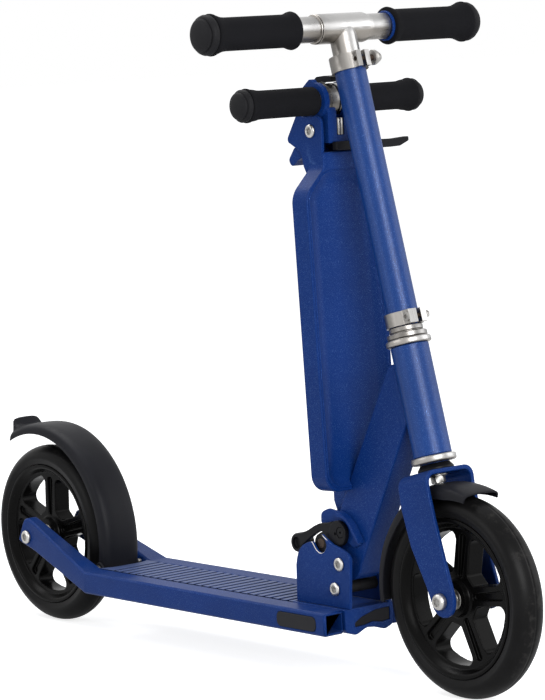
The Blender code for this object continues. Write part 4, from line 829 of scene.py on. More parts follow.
def moulded(name, tint, scale, roughness, depth, pits, dusted, gloss):
    """Moulded plastic, rubber or foam: grain, uneven sheen, edges lightened by rub wear and a painted
    highlight, and a little dust.
    """
    if name in bpy.data.materials:
        return bpy.data.materials[name]
    material, tree, shader, spot = new_material(name)
    grain = use_group(tree, moulded_grain(), (-1200, 0), Vector=spot, Scale=scale, Pits=pits)
    geometry = tree.add("ShaderNodeNewGeometry", (-1500, -300))
    rub_and_highlight = use_group(
        tree, edge_wear_and_highlight(), (-1200, -250), Vector=spot, Pointiness=geometry.outputs["Pointiness"], Start=0.55,
        Amount=0.35,
    )
    dust = use_group(
        tree, settled_dust(), (-1200, -500), Vector=spot, Normal=geometry.outputs["Normal"], Amount=dusted
    )
    uneven = tree.ramp(grain["Value"], 0.3, 0.7, (-900, 0))
    base = tree.mix(tree.math("MULTIPLY", uneven, 0.5, (-700, 100)), tint, scaled(tint, 1.35), (-500, 200))
    # Convex edges lightened: partly rub wear, partly a painted highlight.
    base = tree.mix(rub_and_highlight["Mask"], base, scaled(tint, 2.2), (-300, 200))
    base = tree.mix(dust["Mask"], base, (0.08, 0.08, 0.085), (-100, 200))
    rough = tree.math("ADD", tree.math("MULTIPLY", uneven, 0.1, (-700, -100)), roughness, (-500, -100))
    rough = tree.math(
        "ADD", rough, tree.math("MULTIPLY", dust["Mask"], 0.9, (-500, -300)), (-300, -100), True
    )
    tree.join(base, shader.inputs["Base Color"])
    tree.join(rough, shader.inputs["Roughness"])
    shader.inputs["Specular IOR Level"].default_value = gloss
    bump(tree, shader, grain["Height"], 0.35, depth)
    return material


def black_plastic():
    return moulded(
        "satin_plastic", colours().plastic, scale=620.0, roughness=0.4, depth=0.1, pits=0.5, dusted=0.05,
        gloss=0.11,
    )


def black_metal():
    tint = scaled(colours().plastic, 0.6)
    return moulded(
        "coated_metal", tint, scale=900.0, roughness=0.36, depth=0.06, pits=0.2, dusted=0.03, gloss=0.12
    )


def black_rubber():
    return moulded(
        "cap_rubber", colours().foam, scale=520.0, roughness=0.55, depth=0.12, pits=0.6, dusted=0.04,
        gloss=0.12,
    )


def grip_foam():
    return moulded(
        "closed_cell_foam", colours().foam, scale=1000.0, roughness=0.75, depth=0.15, pits=1.0, dusted=0.03,
        gloss=0.035,
    )


def rim_plastic():
    return moulded(
        "rim_plastic", colours().rim, scale=800.0, roughness=0.2, depth=0.05, pits=0.2, dusted=0.03,
        gloss=0.07,
    )


def pad_rubber():
    tint = scaled(colours().foam, 1.6)
    return moulded(
        "pad_rubber", tint, scale=600.0, roughness=0.6, depth=0.12, pits=0.6, dusted=0.04, gloss=0.15
    )


MOULD_RINGS = 3600.0
TREAD_BAND = (0.094, 0.099)


def tyre_rubber(centre):
    """Smooth polyurethane with faint moulding rings about the wheel and scuffs on the tread."""
    name = f"tyre_rubber_{'front' if centre.x > 0.0 else 'rear'}"
    if name in bpy.data.materials:
        return bpy.data.materials[name]
    material, tree, shader, spot = new_material(name)
    tint = colours().tyre
    offset = (-centre.x * MM, 0.0, -centre.z * MM)
    about = moved(tree, spot, (-1250, 200), location=offset, scale=(1.0, 0.0, 1.0))
    reach = tree.add("ShaderNodeVectorMath", (-1050, 200), operation="LENGTH")
    tree.join(about, reach.inputs[0])
    radius = reach.outputs["Value"]
    turns = tree.math("SINE", tree.math("MULTIPLY", radius, MOULD_RINGS, (-850, 350)), None, (-650, 350))
    grain = use_group(tree, moulded_grain(), (-1050, -100), Vector=spot, Scale=520.0, Pits=0.4)
    tread = tree.ramp(radius, TREAD_BAND[0], TREAD_BAND[1], (-850, 100))
    scuffs = tree.ramp(tree.noise(spot, 90.0, (-1050, -350), 5.0, 0.7), 0.5, 0.72, (-850, -350))
    lightened = tree.math("MULTIPLY", tread, scuffs, (-650, -100), True)
    base = tree.mix(tree.ramp(grain["Value"], 0.3, 0.7, (-850, -600)), tint, scaled(tint, 1.5), (-400, 200))
    base = tree.mix(tree.math("MULTIPLY", lightened, 0.3, (-450, -100)), base, (0.06, 0.057, 0.054), (-200, 200))
    rough = tree.math("ADD", tree.math("MULTIPLY", lightened, 0.2, (-450, -250)), 0.36, (-250, -200), True)
    tree.join(base, shader.inputs["Base Color"])
    tree.join(rough, shader.inputs["Roughness"])
    shader.inputs["Specular IOR Level"].default_value = 0.08
    height = tree.math("ADD", grain["Height"], tree.math("MULTIPLY", turns, 0.12, (-450, 400)), (-250, -400))
    bump(tree, shader, height, 0.25, 0.1)
    return material


# Wheels
TYRE_CROWN = 14.0
RIM_DEPTH = 8.7
RIM_LIP = 4.6
SPOKES = 5
SPOKE_TURN = {"front": 8.0, "rear": 15.0}
HUB_RADIUS = 17.5
HUB_HALF = 16.5
HUB_BORE = 11.0
AXLE_RADIUS = 4.0
WHEELS = (("front", FRONT_AXLE), ("rear", REAR_AXLE))


class SCOOTER_OT_tyres(bpy.types.Operator):
    """Models the two tyres"""

    bl_idname = "scooter.tyres"
    bl_label = "Tyres"

    def execute(self, context):
        given = sizes()
        outer = given.wheel_radius / MM
        half = given.tyre_half_width / MM
        seat = outer - given.tyre_wall / MM + GAP
        shoulder = outer - TYRE_CROWN
        side = [(shoulder + TYRE_CROWN * math.cos(math.radians(a)), half * math.sin(math.radians(a)))
                for a in range(8, 91, 6)]
        half_section = [(outer - 0.35, 0.5), (outer, 1.3)] + side
        half_section += [
            (shoulder - 1.2, half), (shoulder - 1.9, half - 0.5), (seat + 1.4, half - 0.5),
            (seat, half - 1.6),
        ]
        for tag, centre in WHEELS:
            tyre = turned(
                f"tyre_{tag}", mirrored(half_section), along_y(centre.x, centre.z), 128, closed=True
            )
            finish_piece(tyre, f"{tag}_wheel", tyre_rubber(centre), [f"{tag}_tyre"], 40.0)
        return {"FINISHED"}


def window_outline(inner, outer, half_spoke, corner):
    """One opening between two spokes, centred on the X axis."""
    half_step = math.pi / SPOKES
    near = half_step - math.asin(half_spoke / inner)
    far = half_step - math.asin(half_spoke / outer)
    corners = [(inner * math.cos(a), inner * math.sin(a), corner * 0.6) for a in (-near, near)]
    count = 6
    for i in range(count + 1):
        a = far - 2.0 * far * i / count
        corners.append((outer * math.cos(a), outer * math.sin(a), corner if i in (0, count) else 0.0))
    return rounded(corners)


def spoke_web(tag, centre, turn):
    """The flat five-spoke web: openings cut through, a sunk channel along each spoke."""
    given = sizes()
    half = given.web_half_width / MM
    rim_inner = given.wheel_radius / MM - given.tyre_wall / MM - RIM_DEPTH
    place = Matrix.Translation(centre * MM)
    web = rod(f"web_{tag}", (0.0, -half, 0.0), (0.0, half, 0.0), rim_inner + 1.2, place, 120)
    opening = window_outline(27.0, rim_inner - 4.3, given.spoke_width / MM / 2.0, 7.5)
    channel = rounded([(21.0, -3.0, 2.4), (64.5, -4.6, 3.6), (64.5, 4.6, 3.6), (21.0, 3.0, 2.4)], 5)
    for k in range(SPOKES):
        a = turn + 360.0 / SPOKES * k
        window = turn_points(opening, a + 180.0 / SPOKES)
        cut(web, plate("window", window, -half - 3.0, half + 3.0, "XZ", place))
        groove = turn_points(channel, a)
        cut(web, plate("groove", groove, half - 4.2, half + 3.0, "XZ", place))
        cut(web, plate("groove", groove, -half - 3.0, -half + 4.2, "XZ", place))
    return round_edges(web, 1.3, 4, 50.0)


class SCOOTER_OT_rims(bpy.types.Operator):
    """Models the two five-spoke rims"""

    bl_idname = "scooter.rims"
    bl_label = "Rims"

    def execute(self, context):
        given = sizes()
        seat = (given.wheel_radius - given.tyre_wall) / MM
        inner = seat - RIM_DEPTH
        half = given.web_half_width / MM
        lip = given.tyre_half_width / MM - 0.4
        ring = [
            (seat, lip - 1.2), (seat - 0.5, lip - 0.4), (seat - 1.6, lip), (seat - 3.2, lip),
            (seat - RIM_LIP, lip - 0.7), (seat - RIM_LIP - 1.0, lip - 2.0), (inner + 0.8, half + 2.6),
            (inner + 0.1, half + 1.0), (inner - 1.2, half + 0.1),
        ]
        hub = [
            (HUB_BORE, HUB_HALF - 0.5), (HUB_BORE + 0.5, HUB_HALF), (HUB_RADIUS - 1.0, HUB_HALF),
            (HUB_RADIUS - 0.3, HUB_HALF - 0.3), (HUB_RADIUS, HUB_HALF - 1.0), (HUB_RADIUS + 0.3, half + 2.2),
            (HUB_RADIUS + 1.2, half + 0.8), (HUB_RADIUS + 3.2, half + 0.1),
        ]
        for tag, centre in WHEELS:
            axis = along_y(centre.x, centre.z)
            rim = turned(f"rim_{tag}", mirrored(ring), axis, 128, closed=True)
            core = turned("hub", mirrored(hub), axis, 64, closed=True)
            join(rim, spoke_web(tag, centre, SPOKE_TURN[tag]), core)
            finish_piece(
                rim, f"{tag}_wheel", rim_plastic(), [f"{tag}_rim"], 32.0, weighted=True
            )
        return {"FINISHED"}


def hex_socket(height, depth, across, frame):
    """A six-sided cutter that reaches depth along the frame's Z from that height."""
    return rod("socket", (0.0, 0.0, height), (0.0, 0.0, height + depth), across, frame, 6)


def nut(name, low, high, across, bore, frame):
    """A six-sided nut with chamfered corners."""
    body = rod(name, (0.0, 0.0, low), (0.0, 0.0, high), across, frame, 6)
    thick = high - low
    trim = turned(
        "trim",
        [
            (0.0, low - 0.1), (across * 0.9, low - 0.1), (across * 1.02, low + thick * 0.22),
            (across * 1.02, high - thick * 0.22), (across * 0.9, high + 0.1), (0.0, high + 0.1),
        ],
        frame, 48,
    )
    common(body, trim)
    cut(body, rod("bore", (0.0, 0.0, low - 1.0), (0.0, 0.0, high + 1.0), bore, frame, 32))
    return round_edges(body, 0.25, 2, 40.0)


def button_screw(name, frame, seat, low, shank, head, rise):
    """A screw along the frame's Z: a shank, and above the seat a domed head with a hexagon socket."""
    dome = [
        (head * math.cos(math.radians(a)), seat + rise * 0.35 + rise * 0.65 * math.sin(math.radians(a)))
        for a in range(0, 50, 8)
    ]
    profile = [
        (0.0, low), (shank - 0.4, low), (shank, low + 0.4), (shank, seat), (head - 0.3, seat),
        (head, seat + 0.3),
    ]
    top = dome[-1][1]
    profile += dome + [(head * 0.58, top - 0.15), (head * 0.54, top - 0.6), (0.0, top - 0.7)]
    screw = turned(name, profile, frame, 48)
    return cut(screw, hex_socket(top - 1.3, 3.0, head * 0.4, frame))


def finish_screw(screw, body, node, frame, seat, head):
    """Plates a screw and gives the floor of its socket the darker, duller steel as painted shade."""
    finish_piece(screw, body, zinc_plate(), [node], 30.0)
    second_finish(screw, recess_steel(), frame, head * 0.57, seat + 0.2, seat + 40.0)


class SCOOTER_OT_axles(bpy.types.Operator):
    """Models the wheel bearings and the axle bolts"""

    bl_idname = "scooter.axles"
    bl_label = "Bearings and Axles"

    def bearing(self, tag, centre):
        outer = HUB_BORE - GAP
        bore = AXLE_RADIUS + GAP
        edge = HUB_HALF - GAP
        side = [
            (outer, edge - 0.4), (outer - 0.4, edge), (outer - 1.6, edge), (outer - 1.9, edge - 0.7),
            (outer - 2.6, edge - 0.9), (bore + 2.3, edge - 0.9), (bore + 1.7, edge - 0.6), (bore + 1.5, edge),
            (bore + 0.3, edge), (bore, edge - 0.3),
        ]
        piece = turned(f"bearing_{tag}", mirrored(side), along_y(centre.x, centre.z), 48, closed=True)
        finish_piece(piece, f"{tag}_wheel", zinc_plate(), [f"{tag}_bearing"], 30.0)

    def axle(self, name, node, body, arm_inner, arm_outer, frame, head, rise):
        seat = arm_outer + GAP
        near = frame @ HALF_TURN
        bolt = button_screw(name, near, seat, -seat - 5.5, AXLE_RADIUS, head, rise)
        spacer_far = HUB_HALF + GAP
        for sign in (-1.0, 1.0):
            ends = sorted((sign * spacer_far, sign * (arm_inner - GAP)))
            sleeve = [
                (AXLE_RADIUS - 0.2, ends[0]), (6.2, ends[0]), (6.5, ends[0] + 0.3), (6.5, ends[1] - 0.3),
                (6.2, ends[1]), (AXLE_RADIUS - 0.2, ends[1]),
            ]
            join(bolt, turned("sleeve", sleeve, near, 40, closed=True))
        join(bolt, nut("nut", -seat - 4.6, -seat, 7.4, AXLE_RADIUS - 0.2, near))
        finish_screw(bolt, body, node, near, seat, head)

    def execute(self, context):
        for tag, centre in WHEELS:
            self.bearing(tag, centre)
        self.axle(
            "axle_rear", "rear_axle", "deck", arm_inner=28.5, arm_outer=43.0,
            frame=along_y(REAR_AXLE.x, REAR_AXLE.z), head=7.4, rise=4.6,
        )
        self.axle(
            "axle_front", "front_axle", "steering", arm_inner=27.0, arm_outer=31.5,
            frame=along_y(FRONT_AXLE.x, FRONT_AXLE.z), head=8.2, rise=8.4,
        )
        return {"FINISHED"}


# Deck
class SCOOTER_OT_deck(bpy.types.Operator):
    """Dresses the rails, the ribbed plate, the front block and their inserts"""

    bl_idname = "scooter.deck"
    bl_label = "Deck"

    def execute(self, context):
        round_by = sizes().edge_round / MM
        for side in ("right", "left"):
            rail = dressed(f"deck_rail_{side}", f"rail_{side}", 0.9)
            finish_piece(rail, "deck", blue_paint(), [f"rail_{side}"], 50.0, weighted=True)
            plug = dressed(f"rail_end_{side}", f"rail_plug_{side}", 0.5, 2)
            finish_piece(
                plug, "deck", pad_rubber(), [f"rail_plug_{side}"], weighted=True
            )
            pad = dressed(f"side_pad_{side}", f"rail_pad_{side}", 0.4)
            finish_piece(pad, "deck", pad_rubber(), [f"rail_pad_{side}"], weighted=True)
        board = dressed("deck_board", "deck_plate", 0.45)
        finish_piece(board, "deck", blue_paint("ribbed"), ["deck_plate"], weighted=True)
        nose = dressed("deck_nose", "front_block", round_by)
        finish_piece(nose, "deck", blue_paint(), ["front_block"], weighted=True)
        insert = dressed("nose_insert", "block_insert", 0.5)
        finish_piece(insert, "deck", black_plastic(), ["block_insert"], weighted=True)
        return {"FINISHED"}


# Fold bracket, neck and latch
CHEEK_OUTER = 27.5
STOP_BOLT = (180.0, 94.0)


class SCOOTER_OT_bracket(bpy.types.Operator):
    """Dresses the two bracket cheeks and models their bolts and roller"""

    bl_idname = "scooter.bracket"
    bl_label = "Fold Bracket"

    def execute(self, context):
        for side in ("right", "left"):
            cheek = dressed(f"bracket_{side}", f"cheek_{side}", 0.7)
            finish_piece(
                cheek, "deck", blue_paint("notched"), [f"cheek_{side}"], weighted=True
            )
        head = sizes().bolt_radius / MM
        seat = CHEEK_OUTER + GAP
        for name, node, x, z in (
            ("pivot_bolt", "hinge_bolt", FOLD.x, FOLD.z),
            ("lower_bolt", "stop_bolt", STOP_BOLT[0], STOP_BOLT[1]),
        ):
            near = facing_right(x, z)
            bolt = button_screw(name, near, seat, -seat - 4.4, 4.0, head, 3.4)
            join(bolt, nut("nut", -seat - 4.2, -seat, head, 3.8, near))
            finish_screw(bolt, "deck", node, near, seat, head)
        reach = 23.4
        section = [
            (4.3, -reach + 0.4), (4.7, -reach), (6.0, -reach), (6.5, -reach + 0.5), (6.5, -0.6),
            (6.2, -0.3),
        ]
        roller = turned("bracket_roller", mirrored(section), along_y(*STOP_BOLT), 40, closed=True)
        finish_piece(roller, "deck", black_rubber(), ["stop_roller"])
        return {"FINISHED"}


class SCOOTER_OT_neck(bpy.types.Operator):
    """Dresses the neck beam and models the head tube and its cups"""

    bl_idname = "scooter.neck"
    bl_label = "Neck and Head Tube"

    def execute(self, context):
        beam = dressed("neck_body", "neck_beam", 0.8, angle=33.0)
        finish_piece(beam, "neck", blue_paint(), ["neck_beam"], 50.0, weighted=True)
        radius = sizes().head_tube_radius / MM
        low, high = 3.0, 113.6
        section = [
            (16.5, low), (radius - 0.8, low), (radius, low + 0.8), (radius, high - 0.8),
            (radius - 0.8, high), (16.5, high),
        ]
        tube = turned("steering_head", section, STEER, 72, closed=True)
        finish_piece(tube, "neck", blue_paint("tube"), ["head_tube"])
        cup = [
            (14.6, 0.0), (20.9, 0.0), (21.8, 0.3), (22.3, 0.8), (22.5, 1.5), (22.5, 5.0), (22.2, 5.9),
            (21.4, 6.6), (20.4, 7.0), (14.6, 7.0),
        ]
        lower = turned("lower_cup", [(r, low - GAP - h) for r, h in cup], STEER, 72, closed=True)
        finish_piece(lower, "neck", alloy_up(), ["cup_lower"])
        upper = turned("upper_cup", [(r, high + GAP + h * 6.6 / 7.0) for r, h in cup], STEER, 72, closed=True)
        finish_piece(upper, "neck", alloy_up(), ["cup_upper"])
        return {"FINISHED"}


def sweep(x0, z0, r0, x1, z1, r1):
    """The outline of two discs and the straight sides that join them."""
    along = math.degrees(math.atan2(z1 - z0, x1 - x0))
    spread = math.degrees(math.acos((r0 - r1) / math.hypot(x1 - x0, z1 - z0)))
    first = arc(x0, z0, r0, along + spread, along + 360.0 - spread)
    return first + arc(x1, z1, r1, along - spread, along + spread)


GUARD_BACK = 15.3
GUARD_FACE = 17.7
LATCH_BACK = 18.1
LATCH_FACE = 23.6
CAM_DISC = (181.0, 150.0)
CAM_HOLE = (178.4, 149.6)
KNOB = (115.5, 134.5)
PIN_BACK = 2.0
LATCH_CLEAR = -40.0
# The arm's and the finger's backs lie this far inside the cam's, so that no two faces coincide
BACK_STEP = 0.02


class SCOOTER_OT_latch(bpy.types.Operator):
    """Models the latch: the hooded guard, the lever with its cam and knob, the pin and the pivot screw"""

    bl_idname = "scooter.latch"
    bl_label = "Latch"

    def guard(self):
        outline = rounded(
            [
                (150.2, 158.0, 2.5), (150.6, 168.5, 7.0), (163.0, 173.5, 9.0), (182.0, 171.0, 14.0),
                (201.0, 160.5, 12.0), (208.5, 148.0, 8.0), (211.0, 141.0, 1.5), (200.0, 137.0, 2.0),
                (170.0, 150.0, 4.0),
            ],
            8,
        )
        piece = plate("latch_guard", outline, -GUARD_FACE, -GUARD_BACK)
        inner = [
            (108.0, 16.4), (96.0, 16.0), (84.0, 15.7), (60.0, 15.4), (45.0, 15.3), (30.0, 15.7),
            (10.0, 17.2), (-9.0, 22.6), (-16.0, 25.6),
        ]
        outer = [
            (-17.0, 29.0), (-9.0, 26.6), (10.0, 21.0), (30.0, 18.9), (45.0, 18.3), (60.0, 18.6),
            (84.0, 19.6), (96.0, 20.4), (107.0, 21.6),
        ]
        hood = []
        for angle, radius in inner + outer:
            turn = math.radians(angle)
            hood.append((CAM.x + radius * math.cos(turn), CAM.z + radius * math.sin(turn)))
        fuse(piece, plate("hood", hood, -LATCH_FACE, -GUARD_BACK - 0.3))
        cut(piece, drill(CAM.x, CAM.z, LATCH_CLEAR, 0.0, 3.4))
        round_edges(piece, 0.45, 3, 50.0)
        finish_piece(piece, "neck", blue_paint(), ["lever_guard"], 40.0, weighted=True)

    def lever(self, pin_x, pin_z):
        disc = facing_right(*CAM_DISC)
        face = [
            (0.0, LATCH_BACK), (12.4, LATCH_BACK), (13.0, LATCH_BACK + 0.6), (13.0, 22.6), (12.7, 23.2),
            (11.9, 23.5), (10.8, LATCH_FACE), (0.0, LATCH_FACE),
        ]
        piece = turned("latch_handle", face, disc, 64)
        top = [(114.0, 143.0), (119.0, 144.4), (125.0, 145.8), (134.6, 149.6), (144.3, 154.6), (152.3, 157.7),
               (158.7, 158.8), (165.1, 159.6), (172.0, 161.5)]
        under = [
            (176.0, 147.0), (166.0, 148.0), (158.5, 149.6), (153.9, 150.2), (145.9, 146.4), (136.2, 140.6),
            (128.2, 135.2), (121.0, 130.6), (114.0, 128.5),
        ]
        arm = plate("arm", top + under, -23.3, -LATCH_BACK - BACK_STEP)
        fuse(piece, round_edges(arm, 1.3, 4, 50.0))
        outline = sweep(CAM_DISC[0], CAM_DISC[1], 10.6, pin_x, pin_z, 10.2)
        finger = plate("finger", outline, -23.0, -LATCH_BACK - 2.0 * BACK_STEP)
        fuse(piece, round_edges(finger, 0.8, 3, 50.0))
        knob = [
            (0.0, 6.4), (8.2, 6.4), (9.4, 7.2), (9.9, 9.0), (9.9, 21.0), (9.3, 22.6), (8.2, 23.1),
            (0.0, 23.1),
        ]
        fuse(piece, turned("knob", knob, facing_right(*KNOB), 56))
        cup = [(0.0, 19.4), (5.2, 19.4), (6.0, 20.2), (6.8, 30.0), (0.0, 30.0)]
        cut(piece, turned("cup", cup, facing_right(*KNOB), 48))
        for x, z, end, radius in (
            (CAM.x, CAM.z, 0.0, 3.3), (CAM.x, CAM.z, -20.6, 5.8), (pin_x, pin_z, 0.0, 4.2),
            (pin_x, pin_z, -19.6, 5.9),
        ):
            cut(piece, drill(x, z, LATCH_CLEAR, end, radius))
        hole_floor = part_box("latch_lever")[0].y / MM + 1.8
        cut(piece, drill(CAM_HOLE[0], CAM_HOLE[1], LATCH_CLEAR, hole_floor, 1.6, 24))
        finish_piece(piece, "latch", black_metal(), ["latch_lever"], 40.0, weighted=True)

    def execute(self, context):
        self.guard()
        low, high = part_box("latch_pin")
        pin_x = (low.x + high.x) / 2.0 / MM - PIN_BACK
        pin_z = (low.z + high.z) / 2.0 / MM
        self.lever(pin_x, pin_z)
        section = [
            (0.0, LATCH_BACK + 0.1), (3.6, LATCH_BACK + 0.1), (3.9, LATCH_BACK + 0.4), (3.9, 19.9),
            (5.6, 19.9), (5.6, 22.8), (5.0, 23.4), (4.2, LATCH_FACE), (0.0, LATCH_FACE),
        ]
        near = facing_right(pin_x, pin_z)
        pin = turned("latch_peg", section, near, 40)
        finish_piece(pin, "latch", dark_steel(), ["latch_pin"])
        low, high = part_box("latch_screw")
        near = facing_right(CAM.x, CAM.z)
        top = -low.y / MM
        foot = -high.y / MM
        section = [
            (0.0, foot), (2.7, foot), (3.0, foot + 0.3), (3.0, top - 1.8), (5.5, top - 1.8),
            (5.5, top - 0.4), (5.1, top), (0.0, top),
        ]
        screw = turned("latch_pivot", section, near, 48)
        cut(screw, hex_socket(top - 1.2, 2.0, 1.5, near))
        finish_piece(screw, "neck", black_metal(), ["latch_screw"], 30.0)
        return {"FINISHED"}


# Upright column
COLUMN_FOOT = (0.199, 0.0, 0.195)
COLUMN_LEAN = math.radians(-1.84)
COLUMN = Matrix.Translation(COLUMN_FOOT) @ Matrix.Rotation(COLUMN_LEAN, 4, "Y")
COLUMN_DEPTH = 24.0
COLUMN_HALF = 48.0
SHOULDER = 298.0
EAR_HALF = 23.0
EAR_GAP_HALF = 20.0
LOWER_BAR_X = 173.0
LOWER_BAR_Z = 583.5
BAR_ROOM = 15.4
BAR_TRAVEL = (-9.5, -0.8)


def both_sides(right):
    return right + [(-y, z) for y, z in right[::-1] if y > 0.01]


def near_joint(joint, points):
    return [(joint.x + x, joint.z + z) for x, z in points]


class SCOOTER_OT_column(bpy.types.Operator):
    """Models the upright column with its dish, ears, strut and tail, and the bolt through the ears"""

    bl_idname = "scooter.column"
    bl_label = "Upright Column"

    def panel(self):
        outline = both_sides(rounded([
            (0.0, 0.0, 0.0), (COLUMN_HALF, 0.0, 17.0), (COLUMN_HALF, SHOULDER, 24.0), (EAR_HALF, 322.5, 10.0),
            (EAR_HALF, 338.0, 4.0), (0.0, 338.0, 0.0),
        ], 10))
        piece = plate("upright_column", outline, -COLUMN_DEPTH, 0.0, "YZ", COLUMN)
        return round_edges(piece, 1.5, 4, 50.0)

    def dish(self):
        """A cutter for the fine groove and the hollow inside it, its face inset and pushed in by steps."""
        rim = COLUMN_HALF - 1.9
        outline = both_sides(
            rounded(
                [
                    (0.0, 1.9, 0.0), (rim, 1.9, 20.0), (rim, SHOULDER - 0.8, 22.0), (23.2, 320.6, 18.0),
                    (0.0, 320.6, 0.0),
                ],
                10,
            )
        )
        cutter = plate("dish", outline, -0.03, 4.0, "YZ", COLUMN)
        inward = COLUMN.to_3x3() @ Vector((-1.0, 0.0, 0.0))
        pick_faces(cutter, lambda centre, normal: normal.dot(inward) > 0.99)
        steps = [(0.35, 0.2), (0.35, 0.34), (0.4, 0.0), (0.35, -0.34), (0.35, -0.18), (0.4, 0.0)]
        steps += [(0.25, 0.03), (0.25, 0.09), (0.25, 0.14)]
        slope = 34.0
        curve = 23.2
        angles = [math.radians(slope * (1.0 - k / 9.0)) for k in range(10)]
        for a, b in zip(angles, angles[1:]):
            steps.append((curve * (math.sin(a) - math.sin(b)), curve * (math.cos(b) - math.cos(a))))
        for across, deeper in steps:
            bpy.ops.mesh.inset(thickness=across * MM, depth=deeper * MM, use_even_offset=True)
        close_up()
        return cutter

    def head(self):
        outline = near_joint(
            TILT,
            [
                (12.0, -70.0), (13.2, -46.0), (15.0, -28.0), (16.3, -14.0), (16.3, 8.0), (15.0, 11.4),
                (11.8, 14.0), (1.3, 17.0), (-12.2, 20.4), (-18.6, 19.4), (-22.6, 15.6), (-36.4, -5.0),
                (-37.3, -6.5), (-37.6, -9.0), (-36.5, -11.4), (-21.3, -19.0), (-18.6, -21.2),
                (-16.6, -25.0), (-15.7, -29.0), (-14.0, -36.0), (-10.6, -42.0), (-5.4, -46.0),
                (-2.0, -70.0),
            ],
        )
        head = plate("head", outline, -EAR_HALF, EAR_HALF)
        round_edges(head, 0.8, 3, 60.0)
        # room between the ears, above their web and above the panel
        for back, front, low, high in (
            (-60.0, -15.0, 480.0, 620.0), (-16.0, 40.0, 545.5, 620.0), (-10.5, 40.0, 532.0, 560.0)
        ):
            cut(head, block((TILT.x + back, -EAR_GAP_HALF, low), (TILT.x + front, EAR_GAP_HALF, high)))
        return head

    def execute(self, context):
        column = self.panel()
        cut(column, self.dish())
        fuse(column, self.head())
        strut = near_joint(
            FOLD,
            [
                (-28.0, 105.0), (-1.0, 105.0), (17.0, 85.0), (8.0, 70.0), (-12.0, 38.0), (-22.0, 46.0),
                (-28.0, 60.0),
            ],
        )
        fuse(column, round_edges(plate("strut", strut, -8.0, 8.0), 1.0, 3, 60.0))
        corners = [
            (-12.0, -12.0, 1.0), (-31.0, -17.0, 2.0), (-40.6, -29.0, 4.4), (-35.5, -37.0, 4.0),
            (-27.0, -30.0, 2.0), (-12.0, -23.5, 1.0),
        ]
        tail = rounded([(TILT.x + x, TILT.z + z, r) for x, z, r in corners])
        fuse(column, round_edges(plate("tail", tail, -EAR_GAP_HALF - 0.5, 7.0), 0.8, 3, 60.0))
        beam = near_joint(
            FOLD,
            [
                (-21.9, 10.0), (-21.9, 22.0), (-16.9, 40.0), (-9.9, 57.2), (73.0, 203.4), (110.0, 203.4),
                (110.0, 10.0),
            ],
        )
        cut(column, plate("beam_room", beam, -15.3, 15.3))
        cut(column, drill(LOWER_BAR_X, LOWER_BAR_Z, -60.0, 60.0, BAR_ROOM))
        tilted = (LOWER_BAR_X + BAR_TRAVEL[0], LOWER_BAR_Z + BAR_TRAVEL[1])
        cut(column, drill(tilted[0], tilted[1], -60.0, 60.0, BAR_ROOM))
        cut(column, drill(TILT.x, TILT.z, -60.0, 60.0, 4.3))
        finish_piece(column, "neck", blue_paint(), ["post"], 38.0, weighted=True)
        foot = -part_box("bar_hinge_bolt")[1].y / MM
        near = facing_right(TILT.x, TILT.z)
        seat = EAR_HALF + GAP
        head = 6.7
        bolt = button_screw("tilt_bolt", near, seat, foot, 4.0, head, 3.5)
        join(bolt, nut("nut", foot, -seat, 6.6, 3.8, near))
        finish_screw(bolt, "neck", "bar_hinge_bolt", near, seat, head)
        return {"FINISHED"}


# Steering
class SCOOTER_OT_steering(bpy.types.Operator):
    """Dresses the fork and models the headset nut, the long tube and the crown race"""

    bl_idname = "scooter.steering"
    bl_label = "Fork and Steering Tube"

    def execute(self, context):
        fork = dressed("fork_legs", "fork", 0.8, angle=33.0)
        finish_piece(fork, "steering", blue_paint(), ["fork"], 40.0, weighted=True)
        race = [
            (14.7, -5.0), (16.4, -7.3), (18.0, -9.5), (18.0, -11.0), (17.8, -11.2), (14.1, -11.2),
            (14.1, -5.0),
        ]
        seat = turned("crown_seat", race, STEER, 64, closed=True)
        finish_piece(seat, "steering", black_metal(), ["crown_race"])
        low = 120.8
        high = low + 11.4
        ring = [
            (14.1, low), (19.2, low), (20.0, low + 0.7), (20.0, high - 6.9), (19.5, high - 6.3),
            (18.6, high - 6.0), (15.6, high - 5.8), (15.6, high - 5.1), (16.5, high - 4.9),
            (17.0, high - 4.3), (17.0, high - 0.6), (16.4, high), (14.1, high),
        ]
        nut_ring = turned("headset_ring", ring, STEER, 64, closed=True)
        finish_piece(nut_ring, "steering", alloy_up(), ["headset_nut"])
        radius = sizes().tube_radius / MM
        start = high + GAP
        end = 404.0
        section = [
            (14.2, start), (radius - 0.6, start), (radius, start + 0.6), (radius, end - 0.7),
            (radius - 0.7, end), (14.4, end), (14.2, end - 0.2),
        ]
        tube = turned("steering_column", section, STEER, 72, closed=True)
        finish_piece(tube, "steering", blue_paint("tube"), ["steering_tube"])
        return {"FINISHED"}


CLAMP_BOLT_AHEAD = 19.8


